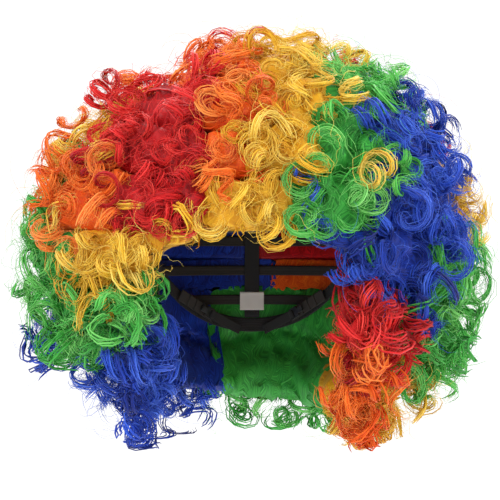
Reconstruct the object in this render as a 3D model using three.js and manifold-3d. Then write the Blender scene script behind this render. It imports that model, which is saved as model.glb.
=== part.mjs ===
// A costume wig: a stretch cap of lace, net and elastic, with rows of coloured curly hair sewn to it.
// Millimetres, +Z up, the face towards -Y, the wearer's left towards +X. The origin is the middle of
// the head at the level of the headband, 20 mm above the eyes.
import * as THREE from "three";
import { mergeVertices } from "three/addons/utils/BufferGeometryUtils.js";
import Module from "manifold-3d";

const wasm = await Module();
wasm.setup();

// ---- driving dimensions ---------------------------------------------------------------------------

// The inside of the cap, on an adult head of about 57 cm round.
const HEAD_HALF_WIDTH = 78;
const HEAD_HALF_LENGTH = 101;
const HEAD_TOP = 93;
const HEAD_FALL = 150; // half height of the slower curve below the headband
const HEAD_STRETCH = HEAD_HALF_LENGTH / HEAD_HALF_WIDTH;

// Layers, measured outwards from the inside of the cap.
const CLEARANCE = 0.3;
const BAND_THICKNESS = 1.2;
const TAPE_INNER = BAND_THICKNESS + CLEARANCE;
const TAPE_THICKNESS = 1.2;
const HAIR_INNER = TAPE_INNER + TAPE_THICKNESS + 0.5;
const LABEL_THICKNESS = 0.5;
const LABEL_WIDTH = 20;
const LABEL_LOW_Z = -53;
const LABEL_HIGH_Z = -38;

// The cap's edge runs down from the hairline to above the ear, then down to the nape.
const HAIRLINE_Z = 10;
const EAR_Y = 15;
const EAR_Z = -12;
const NAPE_SLOPE = -0.79;
const BAND_HEIGHT = 14;
const NET_EDGE_Z = 60;
const RIB_WIDTH = 12;
const TAPE_HEIGHT = 8;

// The ear tabs hang in front of the ears.
const TAB_FRONT_Y = -48;
const TAB_BACK_Y = -14;
const TAB_TIP_FRONT_Y = -38;
const TAB_TIP_BACK_Y = -20;
const TAB_TIP_Z = -40;

// The outside of the hair: half width against height, from the top down.
const HAIR_OUTLINE = [
  [0, 175],
  [62, 169],
  [108, 150],
  [146, 118],
  [173, 76],
  [188, 30],
  [190, -10],
  [184, -52],
  [168, -92],
  [144, -124],
  [110, -146],
  [80, -153],
  [0, -153],
];
const HAIR_DEPTH = 0.89; // front to back against side to side
const HAIR_SHIFT_Y = 6;

// The face stays open below the fringe.
const FACE_HALF_WIDTH = 68;
const FACE_TOP_Z = 6;
const FACE_BACK_Y = -20;

// Neighbouring bundles of hair stand this far apart.
const BUNDLE_GAP_DEGREES = 0.35;
const FAN_GAP_DEGREES = 1;

// The two size adjusters inside the nape band.
const LOOP_PITCH = 8;
const LOOP_COUNT = 4;
const LOOP_TAPE_LENGTH = 40;
const LOOP_TAPE_WIDTH = 10;
const LOOP_TAPE_THICKNESS = 1;
const LOOP_HEIGHT = 0.7;
const LOOP_WIDTH = 1.6;
const HOOK_LENGTH = 14;
const HOOK_WIDTH = 9;
const HOOK_THICKNESS = 1.4;
const HOOK_TIP_U = -6; // the tip rests over the second loop
const HOOK_SLOT = [2.4, 6.6];
const STRAP_WIDTH = 8;
const STRAP_THICKNESS = 0.9;
const ADJUSTER_NEAR_X = 30;
const ADJUSTER_FAR_X = 62;
const STRAP_ANCHOR_X = 9;

const SEGMENTS = 40;
const FAR = 340; // beyond the hair in every direction

const PAINT = {
  red: 0xd01420,
  orange: 0xf5761a,
  yellow: 0xf0c83c,
  green: 0x4cb84f,
  blue: 0x1c46b4,
  lace: 0x3a3634,
  net: 0x45403c,
  elastic: 0x2c2a2a,
  tape: 0x34302e,
  hook: 0x1c1c1e,
  label: 0xf2efe6,
};

// ---- solids -----------------------------------------------------------------------------------

// A closed geometry as a manifold solid with its faces outwards.
function solidOf(geometry) {
  const bare = geometry.index ? geometry.toNonIndexed() : geometry.clone();
  bare.deleteAttribute("normal");
  bare.deleteAttribute("uv");
  const merged = mergeVertices(bare, 1e-4);
  const places = merged.attributes.position.array;
  const corners = [];
  let volume = 0;
  const a = new THREE.Vector3();
  const b = new THREE.Vector3();
  const c = new THREE.Vector3();
  for (let i = 0; i < merged.index.count; i += 3) {
    const [p, q, r] = [0, 1, 2].map((k) => merged.index.getX(i + k));
    if (p === q || q === r || r === p) continue;
    a.fromArray(places, 3 * p);
    b.fromArray(places, 3 * q);
    c.fromArray(places, 3 * r);
    volume += a.dot(b.clone().cross(c));
    corners.push([p, q, r]);
  }
  const outward = volume > 0 ? corners : corners.map(([p, q, r]) => [p, r, q]);
  return new wasm.Manifold(
    new wasm.Mesh({
      numProp: 3,
      vertProperties: new Float32Array(places),
      triVerts: new Uint32Array(outward.flat()),
    }),
  );
}

// A manifold solid as a three.js geometry.
function geometryOf(solid) {
  const mesh = solid.getMesh();
  const geometry = new THREE.BufferGeometry();
  geometry.setAttribute("position", new THREE.BufferAttribute(mesh.vertProperties, 3));
  geometry.setIndex(new THREE.BufferAttribute(mesh.triVerts, 1));
  const flat = geometry.toNonIndexed();
  flat.computeVertexNormals();
  return flat;
}

// A profile of [radius, height] pairs turned round the Z axis, then stretched along Y.
function turned(profile, stretch, shiftY = 0) {
  const points = profile.map(([radius, z]) => new THREE.Vector2(radius, z));
  const geometry = new THREE.LatheGeometry(points, SEGMENTS);
  geometry.rotateX(Math.PI / 2);
  geometry.scale(1, stretch, 1);
  geometry.translate(0, shiftY, 0);
  return solidOf(geometry);
}

// An outline in two of the axes, pushed through along the third, centred.
function pushed(points, depth, across, up) {
  const shape = new THREE.Shape(points.map(([x, y]) => new THREE.Vector2(x, y)));
  const geometry = new THREE.ExtrudeGeometry(shape, { depth, bevelEnabled: false });
  geometry.translate(0, 0, -depth / 2);
  const along = across.clone().cross(up);
  geometry.applyMatrix4(new THREE.Matrix4().makeBasis(across, up, along));
  return solidOf(geometry);
}

// A side view (y, z) pushed through the whole width of the wig.
function sideSlab(points) {
  return pushed(points, 2 * FAR, new THREE.Vector3(0, 1, 0), new THREE.Vector3(0, 0, 1));
}

// A block between two corners.
function block(low, high) {
  const size = high.map((v, i) => v - low[i]);
  const geometry = new THREE.BoxGeometry(...size);
  geometry.translate(...low.map((v, i) => v + size[i] / 2));
  return solidOf(geometry);
}

// ---- the cap's surface --------------------------------------------------------------------------

// The half width of the head at a height.
function headRadius(z) {
  const half = z > 0 ? HEAD_TOP : HEAD_FALL;
  return HEAD_HALF_WIDTH * Math.sqrt(Math.max(0, 1 - (z / half) ** 2));
}

// A point [radius, z] of the head's outline, moved outwards by an offset.
function capPoint(z, offset) {
  const radius = headRadius(z);
  const half = z > 0 ? HEAD_TOP : HEAD_FALL;
  const normal = new THREE.Vector2(radius / HEAD_HALF_WIDTH ** 2, z / half ** 2).normalize();
  return [radius + offset * normal.x, z + offset * normal.y];
}

// A closed ring of the cap between two heights and two offsets.
function capRing(low, high, inner, outer, steps) {
  const heights = Array.from({ length: steps + 1 }, (_, i) => low + ((high - low) * i) / steps);
  const inside = heights.map((z) => capPoint(z, inner));
  const outside = heights.map((z) => capPoint(z, outer)).reverse();
  return turned([...inside, ...outside, inside[0]], HEAD_STRETCH);
}

// A closed dome of the cap above a height.
function capDome(low, inner, outer, steps) {
  const turn = Math.asin(low / HEAD_TOP);
  const heights = Array.from(
    { length: steps + 1 },
    (_, i) => HEAD_TOP * Math.sin(turn + ((Math.PI / 2 - turn) * i) / steps),
  );
  const inside = heights.map((z) => capPoint(z, inner));
  const outside = heights.map((z) => capPoint(z, outer)).reverse();
  inside[steps][0] = 0;
  outside[0][0] = 0;
  return turned([...outside, ...inside], HEAD_STRETCH);
}

// The height of the cap's lower edge in front of the ear, and behind it.
function frontEdge(y) {
  return HAIRLINE_Z + ((EAR_Z - HAIRLINE_Z) * (y + HEAD_HALF_LENGTH)) / (EAR_Y + HEAD_HALF_LENGTH);
}

function napeEdge(y) {
  return EAR_Z + NAPE_SLOPE * (y - EAR_Y);
}

const LOWEST_Z = -95;
const EDGE_Y = 120;
const foundation = capRing(LOWEST_Z, NET_EDGE_Z - CLEARANCE, 0, BAND_THICKNESS, 14);

const frontBand = foundation.intersect(
  sideSlab([
    [-EDGE_Y, frontEdge(-EDGE_Y)],
    [EAR_Y - CLEARANCE, frontEdge(EAR_Y)],
    [EAR_Y - CLEARANCE, frontEdge(EAR_Y) + BAND_HEIGHT],
    [-EDGE_Y, frontEdge(-EDGE_Y) + BAND_HEIGHT],
  ]),
);

const napeBand = foundation.intersect(
  sideSlab([
    [EAR_Y, napeEdge(EAR_Y)],
    [EDGE_Y, napeEdge(EDGE_Y)],
    [EDGE_Y, napeEdge(EDGE_Y) + BAND_HEIGHT],
    [EAR_Y, napeEdge(EAR_Y) + BAND_HEIGHT],
  ]),
);

const earTabs = foundation.intersect(
  sideSlab([
    [TAB_FRONT_Y, frontEdge(TAB_FRONT_Y) - CLEARANCE],
    [TAB_TIP_FRONT_Y, TAB_TIP_Z],
    [TAB_TIP_BACK_Y, TAB_TIP_Z],
    [TAB_BACK_Y, frontEdge(TAB_BACK_Y) - CLEARANCE],
  ]),
);

const leftHalf = block([1, -FAR, -FAR], [FAR, FAR, FAR]);
const rightHalf = block([-FAR, -FAR, -FAR], [-1, FAR, FAR]);

// What stands above both bands, where the ribs run.
const aboveBands = sideSlab([
  [-EDGE_Y, frontEdge(-EDGE_Y) + BAND_HEIGHT + CLEARANCE],
  [EAR_Y, frontEdge(EAR_Y) + BAND_HEIGHT + CLEARANCE],
  [EDGE_Y, napeEdge(EDGE_Y) + BAND_HEIGHT + CLEARANCE],
  [EDGE_Y, FAR],
  [-EDGE_Y, FAR],
]);
const ribSheet = foundation.intersect(aboveBands);
const halfRib = RIB_WIDTH / 2;
const ribFront = ribSheet.intersect(block([-halfRib, -FAR, -FAR], [halfRib, 0, FAR]));
const ribBack = ribSheet.intersect(block([-halfRib, 0, -FAR], [halfRib, FAR, FAR]));
const ribLeft = ribSheet.intersect(block([0, -halfRib, -FAR], [FAR, halfRib, FAR]));
const ribRight = ribSheet.intersect(block([-FAR, -halfRib, -FAR], [0, halfRib, FAR]));

const crownNet = capDome(NET_EDGE_Z, 0, BAND_THICKNESS, 8);

const careLabel = capRing(LABEL_LOW_Z, LABEL_HIGH_Z, -CLEARANCE - LABEL_THICKNESS, -CLEARANCE, 3).intersect(
  block([-LABEL_WIDTH / 2, 0, -FAR], [LABEL_WIDTH / 2, FAR, FAR]),
);

// ---- the weft tapes and the hair --------------------------------------------------------------------

// Each row is sewn to a tape at root height `z`, as a fan of hair between two angles of elevation.
// `tapeFrom` is where its tape starts, front to back. The bundles of one row are
// [colour, first azimuth, last azimuth], 0 in front and 90 at the wearer's left.
const ROWS = [
  {
    z: 72,
    half: 5,
    from: 64,
    to: 45,
    tapeFrom: -FAR,
    bundles: [
      ["red", -75, -20],
      ["orange", -20, 4],
      ["yellow", 4, 38],
      ["green", 38, 95],
      ["blue_back", 95, 165],
      ["orange_back", 165, 285],
    ],
  },
  {
    z: 52,
    half: 6,
    from: 45,
    to: 25,
    tapeFrom: -FAR,
    bundles: [
      ["red", -68, -18],
      ["orange", -18, -2],
      ["yellow", -2, 25],
      ["green", 25, 46],
      ["blue", 46, 100],
      ["red_back", 100, 175],
      ["yellow_back", 175, 292],
    ],
  },
  {
    z: 26,
    half: 7,
    from: 25,
    to: 2,
    tapeFrom: -FAR,
    bundles: [
      ["orange", -80, -46],
      ["red", -46, -15],
      ["yellow", -15, 12],
      ["green", 12, 38],
      ["blue", 38, 80],
      ["yellow_back", 80, 160],
      ["green_back", 160, 280],
    ],
  },
  {
    z: 4,
    half: 5,
    from: 2,
    to: -18,
    tapeFrom: -41,
    bundles: [
      ["blue", 18, 62],
      ["green", 62, 115],
      ["red_back", 115, 180],
      ["blue_back", 180, 250],
      ["green_side", 250, 298],
      ["yellow", 298, 342],
    ],
  },
  {
    z: -20,
    half: 5,
    from: -18,
    to: -38,
    tapeFrom: 31,
    bundles: [
      ["red", 18, 52],
      ["green", 52, 115],
      ["orange_back", 115, 170],
      ["blue_back", 170, 280],
      ["green_side", 280, 342],
    ],
  },
  {
    z: -44,
    half: 5,
    from: -38,
    to: -78,
    tapeFrom: 62,
    bundles: [
      ["orange", 18, 60],
      ["yellow", 60, 120],
      ["green_back", 120, 200],
      ["blue", 200, 342],
    ],
  },
];
const CROWN_EDGE_Z = 86;
const CROWN_BUNDLES = [
  ["yellow", 0, 110],
  ["red", 110, 240],
  ["orange", 240, 360],
];

const hairBody = turned(HAIR_OUTLINE, HAIR_DEPTH, HAIR_SHIFT_Y);
const faceSpace = block([-FACE_HALF_WIDTH, -FAR, -FAR], [FACE_HALF_WIDTH, FACE_BACK_Y, FACE_TOP_Z]);

// The far corner of a fan at an elevation.
function farCorner(degrees) {
  const turn = THREE.MathUtils.degToRad(degrees);
  return [FAR * Math.cos(turn), FAR * Math.sin(turn)];
}

// The whole fan of one row.
function rowFan(row) {
  const outline = [
    capPoint(row.z - row.half, HAIR_INNER),
    farCorner(row.to + FAN_GAP_DEGREES),
    farCorner(row.from - FAN_GAP_DEGREES),
    capPoint(row.z + row.half, HAIR_INNER),
    capPoint(row.z - row.half, HAIR_INNER),
  ];
  return turned(outline, HEAD_STRETCH);
}

// The fan that stands on the crown net.
function crownFan(row) {
  return turned(
    [
      [0, FAR],
      farCorner(row.from + FAN_GAP_DEGREES),
      capPoint(CROWN_EDGE_Z, HAIR_INNER),
      [0, HEAD_TOP + HAIR_INNER],
    ],
    HEAD_STRETCH,
  );
}

// An upright wedge between two azimuths.
function wedge(first, last) {
  const low = first + BUNDLE_GAP_DEGREES;
  const high = last - BUNDLE_GAP_DEGREES;
  const steps = Math.max(2, Math.ceil((high - low) / 30));
  const rim = Array.from({ length: steps + 1 }, (_, i) => {
    const turn = THREE.MathUtils.degToRad(low + ((high - low) * i) / steps);
    return [2 * FAR * Math.sin(turn), -2 * FAR * Math.cos(turn)];
  });
  const along = new THREE.Vector3(1, 0, 0);
  return pushed([[0, 0], ...rim], 2 * FAR, along, new THREE.Vector3(0, 1, 0));
}

// ---- the adjusters ---------------------------------------------------------------------------------

// The point of the nape band's middle line, on the inside of the cap, at a distance from the middle.
function bandPoint(x) {
  let y = HEAD_HALF_LENGTH;
  let z = 0;
  for (let i = 0; i < 40; i += 1) {
    z = napeEdge(y) + BAND_HEIGHT / 2;
    const radius = headRadius(z);
    y = (y + HEAD_STRETCH * Math.sqrt(radius ** 2 - x ** 2)) / 2;
  }
  return new THREE.Vector3(x, y, z);
}

// The adjuster's frame at the wearer's left: u along the band towards the ear, w into the head.
const near = bandPoint(ADJUSTER_NEAR_X);
const far = bandPoint(ADJUSTER_FAR_X);
const middle = near.clone().add(far).multiplyScalar(0.5);
const U = far.clone().sub(near).normalize();
const towardsHead = new THREE.Vector3(-middle.x, -middle.y * (HEAD_HALF_WIDTH / HEAD_HALF_LENGTH), 0);
const W = towardsHead.addScaledVector(U, -towardsHead.dot(U)).normalize();
const V = W.clone().cross(U);

const TAPE_W = 1.4; // the loop tape's outer face above the chord of the band
const LOOP_TOP_W = TAPE_W + LOOP_TAPE_THICKNESS + LOOP_HEIGHT;
const HOOK_W = LOOP_TOP_W + 0.4;

// A side view in (u, w), pushed through along v and placed in the adjuster's frame.
function adjusterSolid(points, width) {
  const solid = pushed(points, width, U, W);
  return solid.translate(middle.x, middle.y, middle.z);
}

function rectangle(u0, u1, w0, w1) {
  return [
    [u0, w0],
    [u1, w0],
    [u1, w1],
    [u0, w1],
  ];
}

function loopTape() {
  const half = LOOP_TAPE_LENGTH / 2;
  let tape = adjusterSolid(rectangle(-half, half, TAPE_W, TAPE_W + LOOP_TAPE_THICKNESS), LOOP_TAPE_WIDTH);
  for (let i = 0; i < LOOP_COUNT; i += 1) {
    const u = HOOK_TIP_U + (i - 1) * LOOP_PITCH;
    const loop = rectangle(u - LOOP_WIDTH / 2, u + LOOP_WIDTH / 2, TAPE_W + 0.5, LOOP_TOP_W);
    tape = tape.add(adjusterSolid(loop, LOOP_TAPE_WIDTH - 2));
  }
  return tape;
}

// A flat hook: a plate with a slot for the strap and a tongue that narrows to a turned-up tip.
function hook() {
  const tip = HOOK_TIP_U + 3;
  const rear = tip - HOOK_LENGTH;
  const neck = tip - 6;
  const top = HOOK_W + HOOK_THICKNESS;
  const plate = adjusterSolid(rectangle(rear, neck, HOOK_W, top), HOOK_WIDTH);
  const tongue = adjusterSolid(
    [
      [neck - 1, HOOK_W],
      [tip - 1, HOOK_W],
      [tip, HOOK_W + 0.6],
      [tip - 0.4, top + 0.6],
      [tip - 2, top],
      [neck - 1, top],
    ],
    HOOK_WIDTH / 2,
  );
  const slot = rectangle(rear + 1.6, rear + 1.6 + HOOK_SLOT[0], HOOK_W - 2, top + 2);
  return plate.add(tongue).subtract(adjusterSolid(slot, HOOK_SLOT[1]));
}

// The elastic strap: from its stitching near the middle of the nape, along the band, to the hook.
function strap() {
  const anchor = bandPoint(STRAP_ANCHOR_X).sub(middle);
  const [u0, w0] = [anchor.dot(U), anchor.dot(W) + 1.2];
  const u1 = HOOK_TIP_U + 3 - HOOK_LENGTH - CLEARANCE;
  const w1 = HOOK_W + 0.2;
  const steps = 8;
  const line = Array.from({ length: steps + 1 }, (_, i) => {
    const t = i / steps;
    const rise = (w1 - w0) * t + 4 * 1.6 * t * (1 - t) * -0.5;
    return [u0 + (u1 - u0) * t, w0 + rise];
  });
  const back = line.map(([u, w]) => [u, w + STRAP_THICKNESS]).reverse();
  return adjusterSolid([...line, ...back], STRAP_WIDTH);
}

// ---- assembly ---------------------------------------------------------------------------------------

const wig = new THREE.Group();
wig.name = "costume_wig";

// Adds one named piece in its own colour.
function addPiece(parent, name, solid, colour, roughness = 0.8) {
  const material = new THREE.MeshStandardMaterial({ color: PAINT[colour], roughness, metalness: 0 });
  const mesh = new THREE.Mesh(geometryOf(solid), material);
  mesh.name = name;
  parent.add(mesh);
}

const cap = new THREE.Group();
wig.add(cap);
addPiece(cap, "front_band", frontBand, "lace");
addPiece(cap, "nape_band", napeBand, "elastic");
addPiece(cap, "ear_tab_left", earTabs.intersect(leftHalf), "lace");
addPiece(cap, "ear_tab_right", earTabs.intersect(rightHalf), "lace");
addPiece(cap, "crown_net", crownNet, "net");
addPiece(cap, "rib_front", ribFront, "elastic");
addPiece(cap, "rib_back", ribBack, "elastic");
addPiece(cap, "rib_left", ribLeft, "elastic");
addPiece(cap, "rib_right", ribRight, "elastic");
addPiece(cap, "care_label", careLabel, "label");

ROWS.forEach((row, i) => {
  const half = TAPE_HEIGHT / 2;
  const ring = capRing(row.z - half, row.z + half, TAPE_INNER, TAPE_INNER + TAPE_THICKNESS, 2);
  const kept = block([-FAR, row.tapeFrom, -FAR], [FAR, FAR, FAR]);
  addPiece(cap, `weft_tape_${i + 1}`, ring.intersect(kept), "tape");
});

const hair = new THREE.Group();
wig.add(hair);
const crown = crownFan(ROWS[0]).intersect(hairBody);
for (const [name, first, last] of CROWN_BUNDLES) {
  addPiece(hair, `hair_crown_${name}`, crown.intersect(wedge(first, last)), name);
}
ROWS.forEach((row, i) => {
  const fan = rowFan(row).intersect(hairBody).subtract(faceSpace);
  for (const [name, first, last] of row.bundles) {
    const colour = name.split("_")[0];
    addPiece(hair, `hair_row${i + 1}_${name}`, fan.intersect(wedge(first, last)), colour);
  }
});

// The same adjuster on both sides, the right one mirrored.
for (const side of ["left", "right"]) {
  const placed = (solid) => (side === "left" ? solid : solid.mirror([1, 0, 0]));
  addPiece(cap, `adjuster_loops_${side}`, placed(loopTape()), "tape");
  addPiece(cap, `adjuster_strap_${side}`, placed(strap()), "elastic");
  addPiece(cap, `adjuster_hook_${side}`, placed(hook()), "hook", 0.4);
}

export default wig;
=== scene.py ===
import logging
import math
from dataclasses import dataclass, field
from enum import Enum

import bmesh
import bpy
import numpy as np
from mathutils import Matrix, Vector


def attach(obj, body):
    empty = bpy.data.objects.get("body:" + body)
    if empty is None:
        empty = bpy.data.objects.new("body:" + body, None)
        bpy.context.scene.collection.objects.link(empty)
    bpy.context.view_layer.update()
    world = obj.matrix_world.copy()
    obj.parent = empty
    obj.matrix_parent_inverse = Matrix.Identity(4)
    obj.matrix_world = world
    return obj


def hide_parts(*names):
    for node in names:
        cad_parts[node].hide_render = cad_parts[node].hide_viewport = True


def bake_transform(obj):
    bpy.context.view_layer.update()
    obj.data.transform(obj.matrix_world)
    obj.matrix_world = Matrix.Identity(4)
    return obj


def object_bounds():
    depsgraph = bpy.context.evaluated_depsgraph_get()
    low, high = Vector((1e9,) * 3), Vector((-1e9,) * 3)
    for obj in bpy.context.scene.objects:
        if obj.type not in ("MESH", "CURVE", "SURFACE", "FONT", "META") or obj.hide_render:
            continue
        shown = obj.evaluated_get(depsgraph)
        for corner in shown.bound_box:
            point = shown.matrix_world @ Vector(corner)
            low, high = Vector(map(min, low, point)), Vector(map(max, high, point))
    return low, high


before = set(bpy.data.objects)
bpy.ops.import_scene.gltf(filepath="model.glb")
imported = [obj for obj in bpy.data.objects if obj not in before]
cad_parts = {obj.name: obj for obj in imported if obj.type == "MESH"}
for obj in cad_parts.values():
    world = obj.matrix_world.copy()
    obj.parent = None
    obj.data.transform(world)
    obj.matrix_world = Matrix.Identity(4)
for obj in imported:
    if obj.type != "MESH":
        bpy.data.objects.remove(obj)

CAD_BOX = [list(corner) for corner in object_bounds()]
LOG = logging.getLogger("costume_wig")

# The cap's inside is an egg: half width and half length at the headband, height above it, and the
# half height of its slower fall below.
HEAD_HALF = np.array([0.078, 0.101])
HEAD_TOP = 0.093
HEAD_FALL = 0.150
# The hair leaves the face open below the fringe.
FACE_HALF_WIDTH = 0.067
FACE_TOP = 0.004
FACE_BACK = -0.020
# On the wearer's left the colours of the locks change this much lower than those of the CAD bundles.
BORDER_DROP = 0.018
# How far loose hair may stand out of the CAD box, on most sides and underneath, and how far inside
# the box its softening starts.
FRIZZ_MARGIN = 0.016
LOW_MARGIN = 0.004
SOFT_WALL = 0.012
# How far strands and the inner hair keep from the head.
STRAND_GAP = 0.006
INNER_GAP = 0.0045


class Tint(Enum):
    """The five hair colours, each with a deep, a body and a lit shade in linear light. The deep end also
    serves as painted shade inside the hair and the lit end as painted highlight on outer and loose fibres,
    besides each lock's own random tone.
    """

    RED = ((0.28, 0.002, 0.004), (0.72, 0.008, 0.012), (0.97, 0.075, 0.055))
    ORANGE = ((0.70, 0.065, 0.003), (0.98, 0.19, 0.012), (1.0, 0.40, 0.09))
    YELLOW = ((0.62, 0.27, 0.006), (0.92, 0.56, 0.03), (1.0, 0.80, 0.20))
    GREEN = ((0.016, 0.20, 0.024), (0.065, 0.50, 0.062), (0.30, 0.76, 0.21))
    BLUE = ((0.003, 0.011, 0.14), (0.012, 0.062, 0.55), (0.09, 0.21, 0.84))

    @property
    def slot(self) -> str:
        """The record's material slot."""
        return "hair_" + self.name.lower()


# ---- meshes ---------------------------------------------------------------------------------------


def unit(vectors: np.ndarray) -> np.ndarray:
    """Vectors of length one along the last axis."""
    return vectors / np.maximum(np.linalg.norm(vectors, axis=-1, keepdims=True), 1e-12)


def smooth_step(values: np.ndarray, low: float, high: float) -> np.ndarray:
    """0 below low, 1 above high, and 3t^2 - 2t^3 between them."""
    t = np.clip((values - low) / (high - low), 0.0, 1.0)
    return t * t * (3.0 - 2.0 * t)


@dataclass
class MeshData:
    """Arrays of one mesh: points, faces as runs of corners, a UV for each corner, a tone for each point."""

    points: np.ndarray
    corners: np.ndarray
    sizes: np.ndarray
    uvs: np.ndarray
    tones: np.ndarray

    @staticmethod
    def join(parts: list["MeshData"]) -> "MeshData":
        """One mesh holding all the parts.

        Args:
            parts: meshes to put together, kept in order.

        Returns:
            The joined arrays, with each part's corners moved past the points before it.
        """
        starts = np.cumsum([0] + [len(p.points) for p in parts[:-1]])
        return MeshData(
            np.concatenate([p.points for p in parts]),
            np.concatenate([p.corners + s for p, s in zip(parts, starts)]),
            np.concatenate([p.sizes for p in parts]),
            np.concatenate([p.uvs for p in parts]),
            np.concatenate([p.tones for p in parts]),
        )

    def mirrored(self) -> "MeshData":
        """The mesh with left and right changed over: X turned about, and each face read backwards."""
        flipped = self.points * np.array([-1.0, 1.0, 1.0])
        return MeshData(flipped, self.corners[::-1], self.sizes[::-1], self.uvs[::-1], self.tones)

    def to_object(self, name: str, material: bpy.types.Material) -> bpy.types.Object:
        """A Blender object at the origin, smooth shaded, with a UV map and a "tone" attribute.

        Args:
            name: the piece's name.
            material: its only material.

        Returns:
            The new object, linked to the scene.
        """
        mesh = bpy.data.meshes.new(name)
        mesh.vertices.add(len(self.points))
        mesh.vertices.foreach_set("co", self.points.astype(np.float32).ravel())
        mesh.loops.add(len(self.corners))
        mesh.loops.foreach_set("vertex_index", self.corners.astype(np.int32))
        mesh.polygons.add(len(self.sizes))
        starts = np.concatenate([[0], np.cumsum(self.sizes)[:-1]])
        mesh.polygons.foreach_set("loop_start", starts.astype(np.int32))
        mesh.polygons.foreach_set("loop_total", self.sizes.astype(np.int32))
        mesh.polygons.foreach_set("use_smooth", np.ones(len(self.sizes), dtype=bool))
        layer = mesh.uv_layers.new(name="UVMap")
        layer.data.foreach_set("uv", self.uvs.astype(np.float32).ravel())
        tone = mesh.attributes.new("tone", "FLOAT", "POINT")
        tone.data.foreach_set("value", self.tones.astype(np.float32))
        mesh.update()
        mesh.validate()
        made = bpy.data.objects.new(name, mesh)
        mesh.materials.append(material)
        bpy.context.scene.collection.objects.link(made)
        return made


def swept(
    paths: np.ndarray,
    across: np.ndarray,
    half_width: np.ndarray,
    half_depth: np.ndarray,
    sides: int,
    tones: np.ndarray,
) -> MeshData:
    """Closed strands: an ellipse of `sides` corners carried along each path.

    A corner at angle a of the section stands at path + width cos(a) across + depth sin(a) up, where
    up is square to the path and to across. Both ends are closed by one face each.

    Args:
        paths: (strands, steps, 3) middle lines.
        across: (strands, steps, 3) rough direction of each section's long axis.
        half_width: (strands, steps) half of the long axis.
        half_depth: (strands, steps) half of the short axis.
        sides: corners of a section.
        tones: (strands, steps) shade from 0, deep, to 1, lit.

    Returns:
        The strands as one mesh. U runs round the section, and V is the length in metres.
    """
    strands, steps, _ = paths.shape
    along = unit(np.gradient(paths, axis=1))
    wide = unit(across - np.sum(across * along, axis=-1, keepdims=True) * along)
    up = np.cross(along, wide)
    turn = 2.0 * np.pi * np.arange(sides) / sides
    rings = (
        paths[:, :, None, :]
        + (half_width[..., None] * np.cos(turn))[..., None] * wide[:, :, None, :]
        + (half_depth[..., None] * np.sin(turn))[..., None] * up[:, :, None, :]
    )
    index = np.arange(strands * steps * sides).reshape(strands, steps, sides)
    after = np.roll(index, -1, axis=2)
    quads = np.stack([index[:, :-1], after[:, :-1], after[:, 1:], index[:, 1:]], axis=-1)
    ends = np.concatenate([index[:, 0, ::-1], index[:, -1, :]])
    length = np.cumsum(np.linalg.norm(np.diff(paths, axis=1, prepend=paths[:, :1]), axis=-1), axis=1)
    around = np.arange(sides + 1) / sides
    u0 = np.broadcast_to(around[:-1], (strands, steps - 1, sides))
    u1 = np.broadcast_to(around[1:], (strands, steps - 1, sides))
    v0 = np.broadcast_to(length[:, :-1, None], u0.shape)
    v1 = np.broadcast_to(length[:, 1:, None], u0.shape)
    cell = ((u0, v0), (u1, v0), (u1, v1), (u0, v1))
    quad_uv = np.stack([np.stack(corner, -1) for corner in cell], 3)
    offset = (np.arange(strands) * 0.61803) % 1.0
    quad_uv = quad_uv + np.stack([offset, offset * 3.0], -1)[:, None, None, None, :]
    end_uv = np.zeros((2 * strands, sides, 2))
    return MeshData(
        rings.reshape(-1, 3),
        np.concatenate([quads.reshape(-1), ends.reshape(-1)]),
        np.concatenate([np.full(quads.size // 4, 4), np.full(2 * strands, sides)]),
        np.concatenate([quad_uv.reshape(-1, 2), end_uv.reshape(-1, 2)]),
        np.repeat(tones.reshape(-1), sides),
    )


def remeshed(corners: np.ndarray, voxel: float, swell: float) -> tuple[np.ndarray, np.ndarray]:
    """An even closed skin over a body of triangles.

    Args:
        corners: (count, 3, 3) corners of the body's triangles.
        voxel: side of the even cells.
        swell: how far the skin stands out from the body.

    Returns:
        The (points, 3) places and the (quads, 4) faces of the skin.
    """
    mesh = bpy.data.meshes.new("rough")
    faces = np.arange(corners.size // 3).reshape(-1, 3)
    mesh.from_pydata(corners.reshape(-1, 3).tolist(), [], faces.tolist())
    welded = bmesh.new()
    welded.from_mesh(mesh)
    bmesh.ops.remove_doubles(welded, verts=welded.verts[:], dist=1e-6)
    welded.to_mesh(mesh)
    welded.free()
    rough = bpy.data.objects.new("rough", mesh)
    bpy.context.scene.collection.objects.link(rough)
    grid = rough.modifiers.new("grid", "REMESH")
    grid.mode = "VOXEL"
    grid.voxel_size = voxel
    even = rough.evaluated_get(bpy.context.evaluated_depsgraph_get()).to_mesh()
    places = np.empty(3 * len(even.vertices))
    even.vertices.foreach_get("co", places)
    normals = np.empty(3 * len(even.vertices))
    even.vertices.foreach_get("normal", normals)
    quads = np.empty(4 * len(even.polygons), dtype=np.int32)
    even.polygons.foreach_get("vertices", quads)
    bpy.data.objects.remove(rough)
    bpy.data.meshes.remove(mesh)
    return (places + swell * normals).reshape(-1, 3), quads.reshape(-1, 4)


# ---- materials ---------------------------------------------------------------------------------------


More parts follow.
